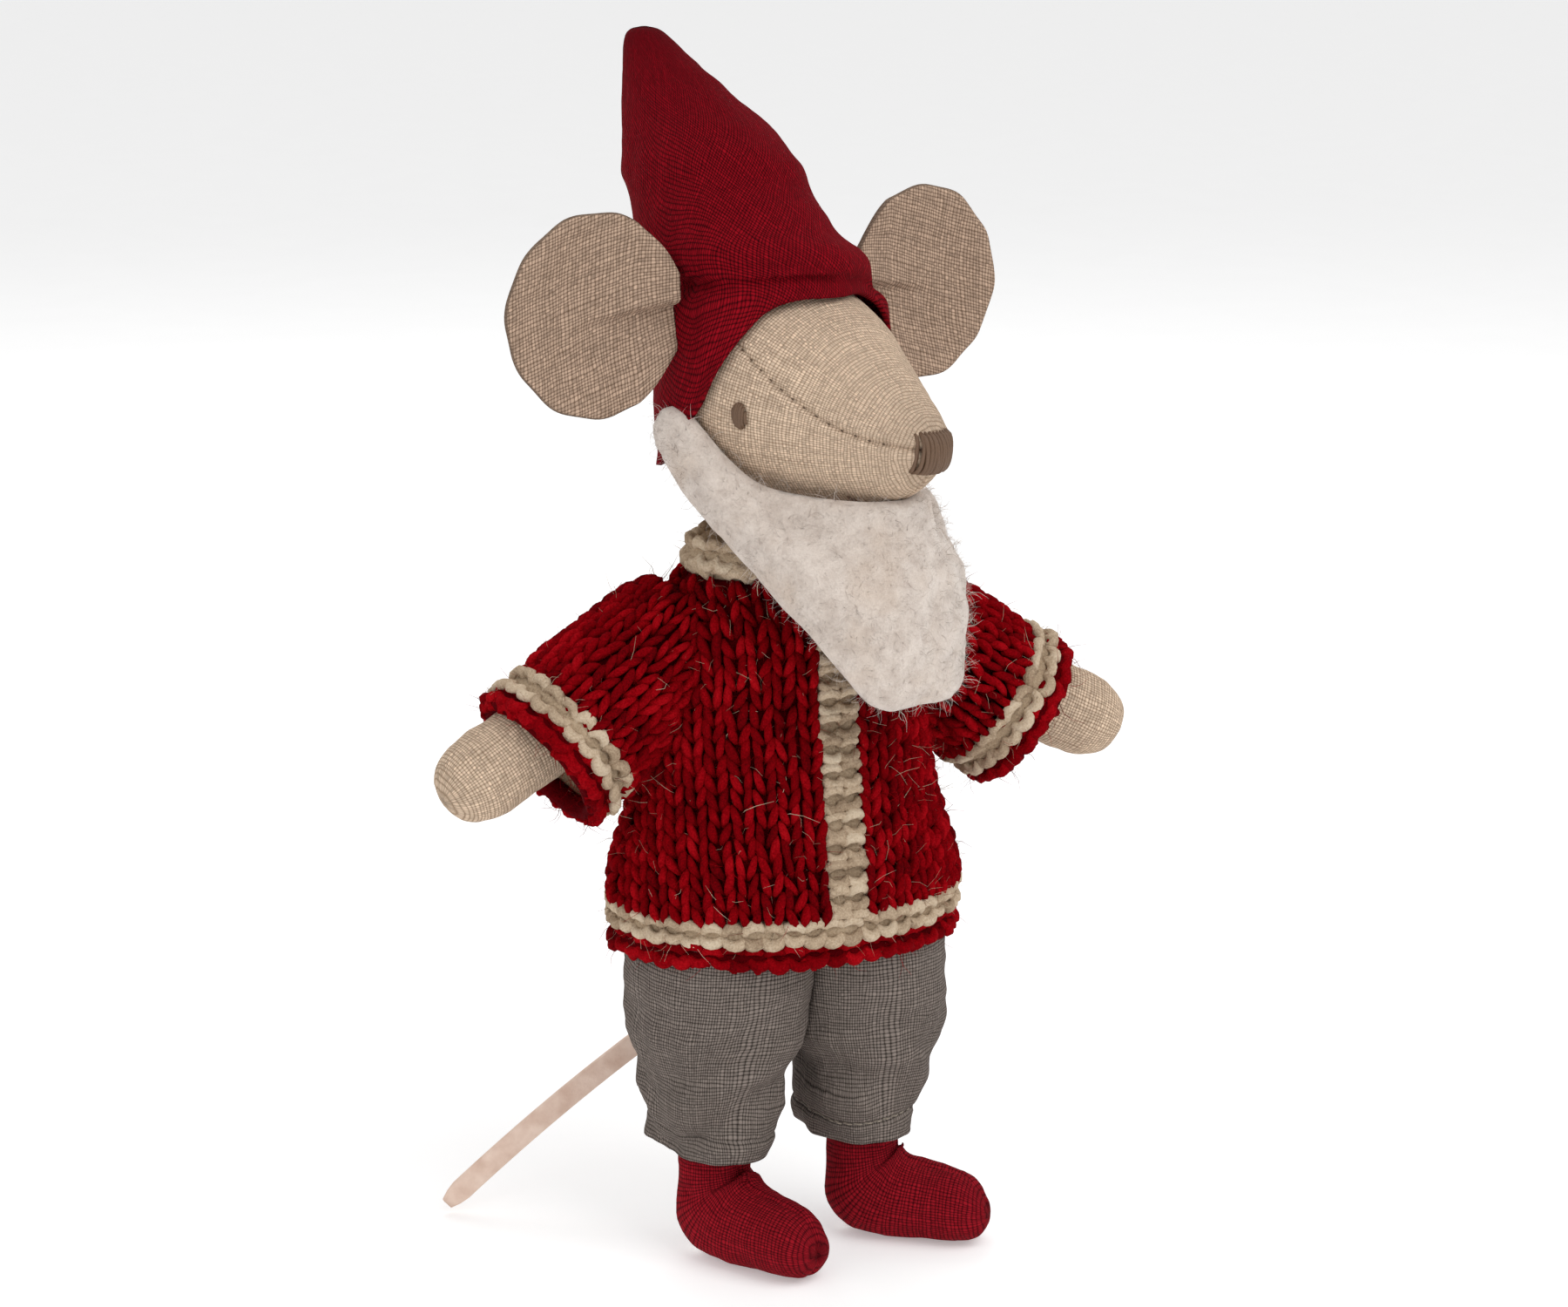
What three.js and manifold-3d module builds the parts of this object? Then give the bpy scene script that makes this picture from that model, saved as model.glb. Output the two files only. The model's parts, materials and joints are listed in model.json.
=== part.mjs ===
// Stuffed linen mouse doll in a pointed red cap, fleece beard, knitted cardigan, linen trousers,
// soft red boots and a leather tail. It stands on its two soles and the tip of the tail.
// Millimetres, +Z up. The doll faces -Y and its left hand is on +X.
import * as THREE from 'three';
import { mergeVertices } from 'three/addons/utils/BufferGeometryUtils.js';
import Module from 'manifold-3d';

const wasm = await Module();
wasm.setup();

// Cloth thicknesses and clearances
const LINEN = 0.8;
const WOOL = 1.6;
const FLEECE = 2.6;
const GAP = 0.3;
const TURN_GAP = 0.5;

// Legs, trousers and boots
const HIP_HEIGHT = 33.8;
const HIP_SPREAD = 11.6;
const THIGH_RADIUS = 11.3;
const LEG_RADIUS = 6.2;
const LEG_TOP_ABOVE_HIP = 4;
const TROUSER_HEM_HEIGHT = 16.5;
const TROUSER_HEM_RADIUS = 8.1;
const HIP_BACK_SWING = 20;
const ANKLE_FORWARD = 1.8;
const ANKLE_RADIUS = 5.1;
const ANKLE_TAPER = 5;
const BOOT_HEIGHT = 19;
const BOOT_BALL_RADIUS = 4.9;
const BOOT_TOE_REACH = 14.2;
const BOOT_SINK = 0.9;
const FOOT_TURN = { right: 28, left: 50 };

// Body and cardigan: half widths at the hem, chest and neck
const CARDIGAN_BOTTOM = 46.6;
const HEM_ROLL = 2.6;
const HEM_BAND = 4.2;
const BODY_HEIGHT = 45.2;
const HEM_HALF = 25.3;
const SEAT_TUCK = 2.6;
const HEM_TUCK = 1;
const WAIST_SHARE = 0.28;
const WAIST_FLARE = 0.4;
const CHEST_HALF = 19.4;
const CHEST_SHARE = 0.62;
const SHOULDER_SHARE = 0.84;
const SHOULDER_SLOPE = 0.27;
const NECK_HALF = 11.6;
const BODY_DEPTH = 0.74;
const SEAT_BOTTOM = 36.4;
const SEAT_TOP = 58;
const NECK_RADIUS = 6.4;
const NECK_LENGTH = 9.4;
const NECK_ROUNDING = 4;
const NECK_BAND = 3;
const NECK_BAND_RADIUS = 10.8;
const NECK_BAND_TAPER = 0.6;
const NECK_BAND_DEPTH = 0.8;
const FRONT_BAND_WIDTH = 5.6;
const FRONT_BAND_SIDE = 1.8;
const ELASTIC = 0.7;
const ELASTIC_WIDTH = 3;

// Arms and sleeves
const SHOULDER_RADIUS = 8.2;
const SHOULDER_BACK = 2.5;
const SHOULDER_BELOW_NECK = 9.2;
const SHOULDER_INSIDE_CHEST = 3.4;
const CUFF_RADIUS = 11.1;
const CUFF_STEP = 0.6;
const CUFF_TAPER = 0.4;
const SLEEVE_LENGTH = 24.4;
const SLEEVE_DROP = 35;
const SLEEVE_FORWARD = 8;
const CUFF_BAND = 3.6;
const CUFF_ROLL = 2.4;
const ARM_RADIUS = 5.6;
const ARM_START = 5.5;
const ARM_LENGTH = 34;
const ARM_RISE = 9;

// Head, cap, ears and beard, the head turned to the doll's left
const HEAD_TURN = 19;
const HEAD_RADIUS = 15.6;
const SNOUT_RADIUS = 3.2;
const SNOUT_LENGTH = 27;
const SNOUT_DROP = 10;
const GUSSET_HALF = 7;
const NOSE_RADIUS = 2.9;
const EYE_FORWARD = 6;
const EYE_RISE = 8;
const EYE_HEIGHT = 3.2;
const EYE_WIDTH = 1.6;
const EYE_BULGE = 1.1;
const MOUTH_FROM_TIP = 3;
const MOUTH_WIDTH = 3;
const MOUTH_THREAD = 0.7;
const CAP_PEAK = 33;
const CAP_EASE = 0.8;
const WADDING_EASE = 0.8;
const CAP_LEAN_BACK = 18;
const CAP_LEAN_SIDE = 9.5;
const CAP_TIP = 2.4;
const EAR_RADIUS = 13.8;
const EAR_THICKNESS = 1.4;
const EAR_ABOVE_CENTRE = 11.9;
const EAR_BACK = 3.2;
const EAR_REACH = 11.6;
const EAR_ROOT_HALF = 6.5;
const EAR_TUCK = 0.7;
const EAR_NECK = 0.4;
const EAR_TURN = { right: -11, left: -3 };
const SLIT_HALF = 2.9;
const SLIT_BELOW_EAR = 11;
const SLIT_ABOVE_EAR = 8.5;
const BEARD_LENGTH = 30;
const BEARD_HALF_TOP = 17.2;
const BEARD_HALF_BOTTOM = 11.4;
const BEARD_DEPTH_TOP = 22.5;
const BEARD_DEPTH_BOTTOM = 14;

// Tail: a leather strip on edge, from the back seam down to the floor
const TAIL_WIDTH = 3.3;
const TAIL_THICKNESS = 1;
const TAIL_ROOT_HEIGHT = 37;
const TAIL_REACH = 44;
const TAIL_TURN = 74;
const TAIL_SAG = 0.18;

const ROUND = 14;
const BODY_ROUND = 20;
const FAR = 90;
const RADIANS = Math.PI / 180;
const Z_AXIS = new THREE.Vector3(0, 0, 1);

// --- Shaping helpers ---

// Welds a geometry into one closed body whose faces point out.
function weld(geometry) {
  const bare = geometry.clone();
  bare.deleteAttribute('normal');
  bare.deleteAttribute('uv');
  const merged = mergeVertices(bare, 1e-4);
  const at = merged.attributes.position;
  const corners = merged.index.array;
  const kept = [];
  let volume = 0;
  const a = new THREE.Vector3();
  const b = new THREE.Vector3();
  const c = new THREE.Vector3();
  for (let i = 0; i < corners.length; i += 3) {
    const [p, q, r] = [corners[i], corners[i + 1], corners[i + 2]];
    if (p === q || q === r || r === p) continue;
    kept.push(p, q, r);
    a.fromBufferAttribute(at, p);
    b.fromBufferAttribute(at, q);
    c.fromBufferAttribute(at, r);
    volume += a.dot(b.cross(c));
  }
  merged.setIndex(volume < 0 ? kept.reverse() : kept);
  return merged;
}

function solid(geometry) {
  const welded = weld(geometry);
  return new wasm.Manifold(new wasm.Mesh({
    numProp: 3,
    vertProperties: Float32Array.from(welded.attributes.position.array),
    triVerts: Uint32Array.from(welded.index.array),
  }));
}

function surface(body) {
  const mesh = body.getMesh();
  const geometry = new THREE.BufferGeometry();
  geometry.setAttribute('position', new THREE.BufferAttribute(mesh.vertProperties, 3));
  geometry.setIndex(new THREE.BufferAttribute(mesh.triVerts, 1));
  geometry.computeVertexNormals();
  return geometry;
}

// Turns a profile of [radius, height] pairs about the Z axis.
function turned(profile, rounds = ROUND) {
  const points = profile.map(([radius, height]) => new THREE.Vector2(radius, height));
  return new THREE.LatheGeometry(points, rounds).rotateX(Math.PI / 2);
}

// Moves every vertex by a rule.
function shaped(geometry, rule) {
  const at = geometry.attributes.position;
  const point = new THREE.Vector3();
  for (let i = 0; i < at.count; i += 1) {
    point.fromBufferAttribute(at, i);
    rule(point);
    at.setXYZ(i, point.x, point.y, point.z);
  }
  return geometry;
}

function block(low, high) {
  const size = high.map((value, axis) => value - low[axis]);
  const centre = high.map((value, axis) => (value + low[axis]) / 2);
  return new THREE.BoxGeometry(...size).translate(...centre);
}

// Extrudes an outline of [back, height] pairs right across the doll.
function across(outline) {
  const shape = new THREE.Shape(outline.map(([back, height]) => new THREE.Vector2(back, height)));
  const geometry = new THREE.ExtrudeGeometry(shape, { depth: 2 * FAR, bevelEnabled: false, steps: 1 });
  geometry.translate(0, 0, -FAR);
  return geometry.applyMatrix4(new THREE.Matrix4().makeBasis(
    new THREE.Vector3(0, 1, 0), new THREE.Vector3(0, 0, 1), new THREE.Vector3(1, 0, 0)));
}

function closedShell(outer, inner) {
  return [...outer, ...inner.reverse(), outer[0]];
}

const material = (color, roughness) => new THREE.MeshStandardMaterial({ color, roughness, metalness: 0 });
const LINEN_COLOUR = 0xbeac94;
const FACE_COLOUR = 0xcdb99e;
const WOOL_COLOUR = 0x960a19;
const BAND_COLOUR = 0xc8b49b;
const RED_LINEN = 0x821823;
const TROUSER_COLOUR = 0x7d7670;
const STUFFING_COLOUR = 0xf0ece4;
const ELASTIC_COLOUR = 0xe8e4dc;
const BOOT_COLOUR = 0x962830;
const STITCH_COLOUR = 0x5a4432;
const FLEECE_COLOUR = 0xd7cdc6;
const EAR_COLOUR = 0xb2a08a;
const LEATHER_COLOUR = 0xdec4b6;

function add(parent, name, shape, color, roughness = 0.9) {
  const geometry = shape.isBufferGeometry ? weld(shape) : surface(shape);
  const mesh = new THREE.Mesh(geometry, material(color, roughness));
  mesh.name = name;
  parent.add(mesh);
}

function group(parent, x, y, z) {
  const made = new THREE.Group();
  made.position.set(x, y, z);
  parent.add(made);
  return made;
}

const doll = new THREE.Group();
const sides = [['right', -1], ['left', 1]];

// --- Dressed body outline, from the seat up to the neck ---
const seatInset = Math.max(WOOL, HEM_ROLL) + GAP;
const cardiganFrom = CARDIGAN_BOTTOM + HEM_ROLL + HEM_BAND + 2 * GAP;
const cardiganTo = cardiganFrom + BODY_HEIGHT;
const outline = new THREE.SplineCurve([
  new THREE.Vector2(HEM_HALF - SEAT_TUCK, SEAT_BOTTOM - 1),
  new THREE.Vector2(HEM_HALF - HEM_TUCK, CARDIGAN_BOTTOM - 3),
  new THREE.Vector2(HEM_HALF, cardiganFrom),
  new THREE.Vector2(
    THREE.MathUtils.lerp(CHEST_HALF, HEM_HALF, WAIST_FLARE), cardiganFrom + WAIST_SHARE * BODY_HEIGHT),
  new THREE.Vector2(CHEST_HALF, cardiganFrom + CHEST_SHARE * BODY_HEIGHT),
  new THREE.Vector2(
    THREE.MathUtils.lerp(CHEST_HALF, NECK_HALF, SHOULDER_SLOPE), cardiganFrom + SHOULDER_SHARE * BODY_HEIGHT),
  new THREE.Vector2(NECK_HALF, cardiganTo),
]);

// Every layer keeps to the same knots, so that one layer is an exact offset of the next
const OUTLINE_STEPS = 14;
const knots = outline.getPoints(OUTLINE_STEPS);

function bodyRadius(height) {
  const above = Math.min(OUTLINE_STEPS, Math.max(1, knots.findIndex((knot) => knot.y >= height)));
  const [low, high] = [knots[above - 1], knots[above]];
  return THREE.MathUtils.mapLinear(height, low.y, high.y, low.x, high.x);
}

function layer(inset, from, to) {
  const between = knots.filter((knot) => knot.y > from && knot.y < to).map((knot) => knot.y);
  return [from, ...between, to].map((height) => [bodyRadius(height) - inset, height]);
}

function bodyRing(inset, thickness, from, to) {
  const profile = closedShell(layer(inset, from, to), layer(inset + thickness, from, to));
  return solid(turned(profile, BODY_ROUND).scale(1, BODY_DEPTH, 1));
}

// Space that the two legs sweep, from swung back to lifted level in front
function legSweep(clearance) {
  const radius = THIGH_RADIUS + clearance;
  const arc = [];
  for (let angle = 90; angle >= HIP_BACK_SWING; angle -= 10) {
    const turn = angle * RADIANS;
    arc.push([radius * Math.cos(turn), HIP_HEIGHT + radius * Math.sin(turn)]);
  }
  const [backY, backZ] = arc[arc.length - 1];
  const swing = HIP_BACK_SWING * RADIANS;
  const far = [backY + FAR * Math.sin(swing), backZ - FAR * Math.cos(swing)];
  return solid(across([[-FAR, HIP_HEIGHT + radius], ...arc, far, [-FAR, -FAR]]));
}

const shoulderX = CHEST_HALF - SHOULDER_INSIDE_CHEST;
const shoulderZ = cardiganTo - SHOULDER_BELOW_NECK;
const sleeveEnd = SLEEVE_LENGTH - CUFF_BAND - CUFF_ROLL / 2 - 2 * GAP;

// Direction out of the shoulder that drops by an angle below level
function limbLine(side, dropAngle) {
  const down = dropAngle * RADIANS;
  const forward = SLEEVE_FORWARD * RADIANS;
  const outward = side * Math.cos(down) * Math.cos(forward);
  return new THREE.Vector3(outward, -Math.sin(forward), -Math.sin(down)).normalize();
}

function sleeveProfile(inset, length) {
  const radius = SHOULDER_RADIUS - inset;
  const points = [[0, -radius]];
  for (let i = 1; i <= 5; i += 1) {
    const turn = -Math.PI / 2 + (i / 5) * (Math.PI / 2);
    points.push([radius * Math.cos(turn), radius * Math.sin(turn)]);
  }
  return [...points, [CUFF_RADIUS - CUFF_STEP - inset, length]];
}

// Room in the body for each sleeve, which only lifts away from it
const shoulderRoom = sides.map(([, side]) => {
  const room = turned([...sleeveProfile(-TURN_GAP, sleeveEnd), [0, sleeveEnd]]);
  room.applyQuaternion(new THREE.Quaternion().setFromUnitVectors(Z_AXIS, limbLine(side, SLEEVE_DROP)));
  return solid(room.translate(side * shoulderX, SHOULDER_BACK, shoulderZ));
});

const clear = (body, ...cuts) => cuts.reduce((left, cut) => left.subtract(cut), body);
const half = (low, high) => solid(block(low, high));

// Torso: a linen bag open at the neck, filled with stuffing
const neckTop = cardiganTo + NECK_LENGTH;
const underLayers = seatInset + LINEN + GAP;

function torsoProfile(inset) {
  const bottom = SEAT_BOTTOM + inset;
  const rise = layer(underLayers + inset, bottom, cardiganTo - NECK_ROUNDING);
  return [[0, bottom], ...rise, [NECK_RADIUS + 1 - inset, cardiganTo], [NECK_RADIUS - inset, neckTop]];
}

const torsoTurn = (profile) => turned(profile, BODY_ROUND).scale(1, BODY_DEPTH, 1);
const torsoBag = torsoTurn([...torsoProfile(0), ...torsoProfile(LINEN).reverse()]);
const torsoFill = torsoTurn([...torsoProfile(LINEN + GAP), [0, neckTop]]);
add(doll, 'torso_skin', clear(solid(torsoBag), legSweep(TURN_GAP), ...shoulderRoom), LINEN_COLOUR);
add(doll, 'torso_stuffing', clear(solid(torsoFill), legSweep(TURN_GAP), ...shoulderRoom), STUFFING_COLOUR);

// Trouser seat: two halves with a seam down the middle, held by an elastic at the waist
const seat = clear(bodyRing(seatInset, LINEN, SEAT_BOTTOM, SEAT_TOP), legSweep(TURN_GAP));
add(doll, 'trouser_seat_right', seat.intersect(half([-FAR, -FAR, 0], [-GAP / 2, FAR, FAR])), TROUSER_COLOUR);
add(doll, 'trouser_seat_left', seat.intersect(half([GAP / 2, -FAR, 0], [FAR, FAR, FAR])), TROUSER_COLOUR);
const elasticFrom = SEAT_TOP + GAP;
const elastic = bodyRing(seatInset, ELASTIC, elasticFrom, elasticFrom + ELASTIC_WIDTH);
add(doll, 'waist_elastic', elastic, ELASTIC_COLOUR);

// Cardigan: back, two fronts and a beige front band, between the hem trims and the neck band
const cardigan = clear(bodyRing(0, WOOL, cardiganFrom, cardiganTo), ...shoulderRoom);
const bandFrom = FRONT_BAND_SIDE - FRONT_BAND_WIDTH / 2;
const bandTo = FRONT_BAND_SIDE + FRONT_BAND_WIDTH / 2;
const frontPart = (from, to) => cardigan.intersect(half([from, -FAR, 0], [to, -GAP / 2, 2 * FAR]));
add(doll, 'cardigan_back', cardigan.intersect(half([-FAR, GAP / 2, 0], [FAR, FAR, 2 * FAR])), WOOL_COLOUR);
add(doll, 'cardigan_front_right', frontPart(-FAR, bandFrom - GAP), WOOL_COLOUR);
add(doll, 'cardigan_front_left', frontPart(bandTo + GAP, FAR), WOOL_COLOUR);
add(doll, 'cardigan_front_band', frontPart(bandFrom, bandTo), BAND_COLOUR);

const bandBottom = CARDIGAN_BOTTOM + HEM_ROLL + GAP;
add(doll, 'cardigan_hem_band', bodyRing(0, WOOL, bandBottom, bandBottom + HEM_BAND), BAND_COLOUR);

// A rolled knitted edge: a round section carried round the opening
function roll(radius, diameter, height, rounds = BODY_ROUND) {
  const section = [];
  for (let i = 0; i <= 6; i += 1) {
    const turn = (i / 6) * 2 * Math.PI;
    section.push([radius + (diameter / 2) * Math.cos(turn), height + (diameter / 2) * Math.sin(turn)]);
  }
  return turned(section, rounds);
}

const hemRollRadius = HEM_HALF - HEM_ROLL / 2;
add(doll, 'cardigan_hem_roll',
  roll(hemRollRadius, HEM_ROLL, CARDIGAN_BOTTOM + HEM_ROLL / 2).scale(1, BODY_DEPTH, 1), WOOL_COLOUR);

const neckBandFrom = cardiganTo + GAP;
const neckBandTo = neckBandFrom + NECK_BAND;
add(doll, 'cardigan_neck_band', turned(closedShell(
  [[NECK_BAND_RADIUS, neckBandFrom], [NECK_BAND_RADIUS - NECK_BAND_TAPER, neckBandTo]],
  [[NECK_BAND_RADIUS - WOOL, neckBandFrom], [NECK_BAND_RADIUS - NECK_BAND_TAPER - WOOL, neckBandTo]],
)).scale(1, NECK_BAND_DEPTH, 1), BAND_COLOUR);

// --- Legs: thigh ball in the trouser leg, stuffed linen leg and soft boot ---
function thighProfile(radius, hemRadius, hemDepth) {
  const slope = Math.asin((radius - hemRadius) / (HIP_HEIGHT - TROUSER_HEM_HEIGHT));
  const points = [[0, radius]];
  for (let i = 1; i <= 8; i += 1) {
    const turn = Math.PI / 2 - (i / 8) * (Math.PI / 2 + slope);
    points.push([radius * Math.cos(turn), radius * Math.sin(turn)]);
  }
  return [...points, [hemRadius, -hemDepth]];
}

function bootSolid(inset, top) {
  const ankle = solid(new THREE.CylinderGeometry(ANKLE_RADIUS - inset, BOOT_BALL_RADIUS - inset, top, ROUND)
    .rotateX(Math.PI / 2).translate(0, 0, BOOT_BALL_RADIUS - BOOT_SINK + top / 2));
  const foot = solid(new THREE.CapsuleGeometry(BOOT_BALL_RADIUS - inset, BOOT_TOE_REACH, 4, ROUND)
    .translate(0, -BOOT_TOE_REACH / 2, BOOT_BALL_RADIUS - BOOT_SINK));
  return ankle.add(foot).subtract(half([-FAR, -FAR, -FAR], [FAR, FAR, inset]));
}

const hemDepth = HIP_HEIGHT - TROUSER_HEM_HEIGHT;
const ankleTop = BOOT_HEIGHT - (BOOT_BALL_RADIUS - BOOT_SINK);
for (const [name, side] of sides) {
  const leg = group(doll, side * HIP_SPREAD, 0, HIP_HEIGHT);
  leg.name = `hip_${name}`;
  const trouser = [...thighProfile(THIGH_RADIUS, TROUSER_HEM_RADIUS, hemDepth),
    ...thighProfile(THIGH_RADIUS - LINEN, TROUSER_HEM_RADIUS - LINEN, hemDepth).reverse()];
  add(leg, `trouser_leg_${name}`, turned(trouser), TROUSER_COLOUR);

  const legFoot = BOOT_HEIGHT + GAP - HIP_HEIGHT;
  const legProfile = (inset) => [[ANKLE_RADIUS - inset, legFoot],
    [LEG_RADIUS - inset, legFoot + ANKLE_TAPER], [LEG_RADIUS - inset, LEG_TOP_ABOVE_HIP]];
  add(leg, `leg_skin_${name}`, turned(closedShell(legProfile(0), legProfile(LINEN))), LINEN_COLOUR);
  const legFill = [[0, legFoot], ...legProfile(LINEN + GAP), [0, LEG_TOP_ABOVE_HIP]];
  add(leg, `leg_stuffing_${name}`, turned(legFill), STUFFING_COLOUR);

  const foot = group(leg, 0, -ANKLE_FORWARD, -HIP_HEIGHT);
  foot.rotation.z = FOOT_TURN[name] * RADIANS;
  const skin = bootSolid(0, ankleTop).subtract(bootSolid(LINEN, ankleTop + 1));
  const aboveBoot = half([-FAR, -FAR, BOOT_HEIGHT], [FAR, FAR, FAR]);
  const bootFill = bootSolid(LINEN + GAP, ankleTop + 1).subtract(aboveBoot);
  add(foot, `boot_skin_${name}`, skin, BOOT_COLOUR);
  add(foot, `boot_stuffing_${name}`, bootFill, STUFFING_COLOUR);
}

// --- Arms: knitted sleeve on a shoulder ball, with a stuffed linen arm ---
for (const [name, side] of sides) {
  const arm = group(doll, side * shoulderX, SHOULDER_BACK, shoulderZ);
  arm.name = `shoulder_${name}`;
  const along = limbLine(side, SLEEVE_DROP);
  const sleeve = group(arm, 0, 0, 0);
  sleeve.quaternion.setFromUnitVectors(Z_AXIS, along);
  add(sleeve, `sleeve_${name}`,
    turned([...sleeveProfile(0, sleeveEnd), ...sleeveProfile(WOOL, sleeveEnd).reverse()]), WOOL_COLOUR);
  const bandAt = sleeveEnd + GAP;
  add(sleeve, `cuff_band_${name}`, turned(closedShell(
    [[CUFF_RADIUS - CUFF_TAPER, bandAt], [CUFF_RADIUS, bandAt + CUFF_BAND]],
    [[CUFF_RADIUS - CUFF_TAPER - WOOL, bandAt], [CUFF_RADIUS - WOOL, bandAt + CUFF_BAND]],
  )), BAND_COLOUR);
  const rollAt = bandAt + CUFF_BAND + GAP + CUFF_ROLL / 2;
  const rollRadius = CUFF_RADIUS - CUFF_ROLL / 2 + GAP;
  add(sleeve, `cuff_roll_${name}`, roll(rollRadius, CUFF_ROLL, rollAt, ROUND), WOOL_COLOUR);

  const armStart = along.clone().multiplyScalar(ARM_START);
  const limb = group(arm, armStart.x, armStart.y, armStart.z);
  limb.quaternion.setFromUnitVectors(Z_AXIS, limbLine(side, SLEEVE_DROP - ARM_RISE));
  const limbProfile = (inset) => {
    const radius = ARM_RADIUS - inset;
    const straight = ARM_LENGTH - ARM_RADIUS;
    const points = [[radius - 1.6, 0], [radius - 0.4, 4], [radius, straight]];
    for (let i = 1; i < 5; i += 1) {
      const turn = (i / 5) * (Math.PI / 2);
      points.push([radius * Math.cos(turn), straight + radius * Math.sin(turn)]);
    }
    return [...points, [0, straight + radius]];
  };
  add(limb, `arm_skin_${name}`,
    turned([...limbProfile(LINEN).reverse(), ...limbProfile(0)]), LINEN_COLOUR);
  add(limb, `arm_stuffing_${name}`, turned([[0, 0], ...limbProfile(LINEN + GAP)]), STUFFING_COLOUR);
}

// --- Head: two linen side panels and a forehead gusset round the stuffing ---
const head = group(doll, 0, 0, neckTop + GAP);
head.name = 'neck';
head.rotation.z = HEAD_TURN * RADIANS;
const headCentre = HEAD_RADIUS + TURN_GAP;

// A round head drawn out into a snout, grown or shrunk by an inset
function headSolid(inset) {
  const path = new THREE.Path();
  const big = HEAD_RADIUS - inset;
  const small = SNOUT_RADIUS - inset;
  const tangent = Math.acos((big - small) / SNOUT_LENGTH);
  path.absarc(0, 0, big, Math.PI, tangent, true);
  path.absarc(SNOUT_LENGTH, 0, small, tangent, 0, true);
  const points = path.getPoints(5).map((point) => [Math.max(0, point.y), point.x]);
  points[0][0] = 0;
  points[points.length - 1][0] = 0;
  return solid(turned(points).rotateX(Math.PI / 2 + SNOUT_DROP * RADIANS).translate(0, 0, headCentre));
}

const skinShell = headSolid(0).subtract(headSolid(LINEN));
const noseEnd = -SNOUT_LENGTH - SNOUT_RADIUS;
function gussetPrism(grow) {
  const shape = new THREE.Shape([[-0.7 - grow, noseEnd - 2], [0.7 + grow, noseEnd - 2],
    [GUSSET_HALF + grow, 0], [GUSSET_HALF + grow, HEAD_RADIUS + 2], [-GUSSET_HALF - grow, HEAD_RADIUS + 2],
    [-GUSSET_HALF - grow, 0]].map(([x, y]) => new THREE.Vector2(x, y)));
  const prism = new THREE.ExtrudeGeometry(shape, { depth: FAR, bevelEnabled: false });
  return solid(prism.rotateX(SNOUT_DROP * RADIANS).translate(0, 0, headCentre - grow));
}

add(head, 'head_gusset', skinShell.intersect(gussetPrism(0)), FACE_COLOUR);
const sidePanels = skinShell.subtract(gussetPrism(GAP));
const rightHalf = half([-FAR, -FAR, -FAR], [-GAP / 2, FAR, FAR]);
const leftHalf = half([GAP / 2, -FAR, -FAR], [FAR, FAR, FAR]);
add(head, 'head_side_right', sidePanels.intersect(rightHalf), FACE_COLOUR);
add(head, 'head_side_left', sidePanels.intersect(leftHalf), FACE_COLOUR);
add(head, 'head_stuffing', headSolid(LINEN + GAP), STUFFING_COLOUR);

// Stitched nose at the tip of the snout, eyes on its sides and a mouth thread below
const headGrown = headSolid(-GAP);
const drop = SNOUT_DROP * RADIANS;
const alongSnout = (distance) => [-distance * Math.cos(drop), headCentre - distance * Math.sin(drop)];
const [noseY, noseZ] = alongSnout(SNOUT_LENGTH + 1.9);
const noseSphere = new THREE.SphereGeometry(NOSE_RADIUS, 10, 6).rotateX(Math.PI / 2);
add(head, 'nose', solid(noseSphere.translate(0, noseY, noseZ + 0.4)).subtract(headGrown), STITCH_COLOUR);

const eyeAngle = EYE_RISE * RADIANS;
const [eyeY, eyeZ] = alongSnout(EYE_FORWARD);
for (const [name, side] of sides) {
  const eyeX = side * (HEAD_RADIUS - EYE_BULGE) * Math.cos(eyeAngle);
  const eye = new THREE.SphereGeometry(1, 12, 8).scale(EYE_BULGE, EYE_WIDTH / 2, EYE_HEIGHT / 2)
    .translate(eyeX, eyeY, eyeZ + HEAD_RADIUS * Math.sin(eyeAngle));
  add(head, `eye_${name}`, solid(eye).subtract(headGrown), STITCH_COLOUR);
}
const mouthAlong = SNOUT_LENGTH - MOUTH_FROM_TIP;
const [mouthY, mouthZ] = alongSnout(mouthAlong);
const snoutTaper = (HEAD_RADIUS - SNOUT_RADIUS) / SNOUT_LENGTH;
const mouthRadius = (HEAD_RADIUS - mouthAlong * snoutTaper) / Math.sqrt(1 - snoutTaper * snoutTaper);
const mouth = (grow) => solid(new THREE.CapsuleGeometry(MOUTH_THREAD + grow, MOUTH_WIDTH, 4, 8)
  .rotateZ(Math.PI / 2)
  .translate(0, mouthY - Math.sin(drop) * mouthRadius, mouthZ - Math.cos(drop) * mouthRadius));
add(head, 'mouth_stitch', mouth(0).subtract(headGrown), STITCH_COLOUR);

// --- Beard: a thick fleece piece wrapped under the jaw and hanging in front ---
const beardTop = headCentre - 2;
const beardBottom = -BEARD_LENGTH + 6;
const snoutFront = SNOUT_LENGTH + SNOUT_RADIUS;

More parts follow.
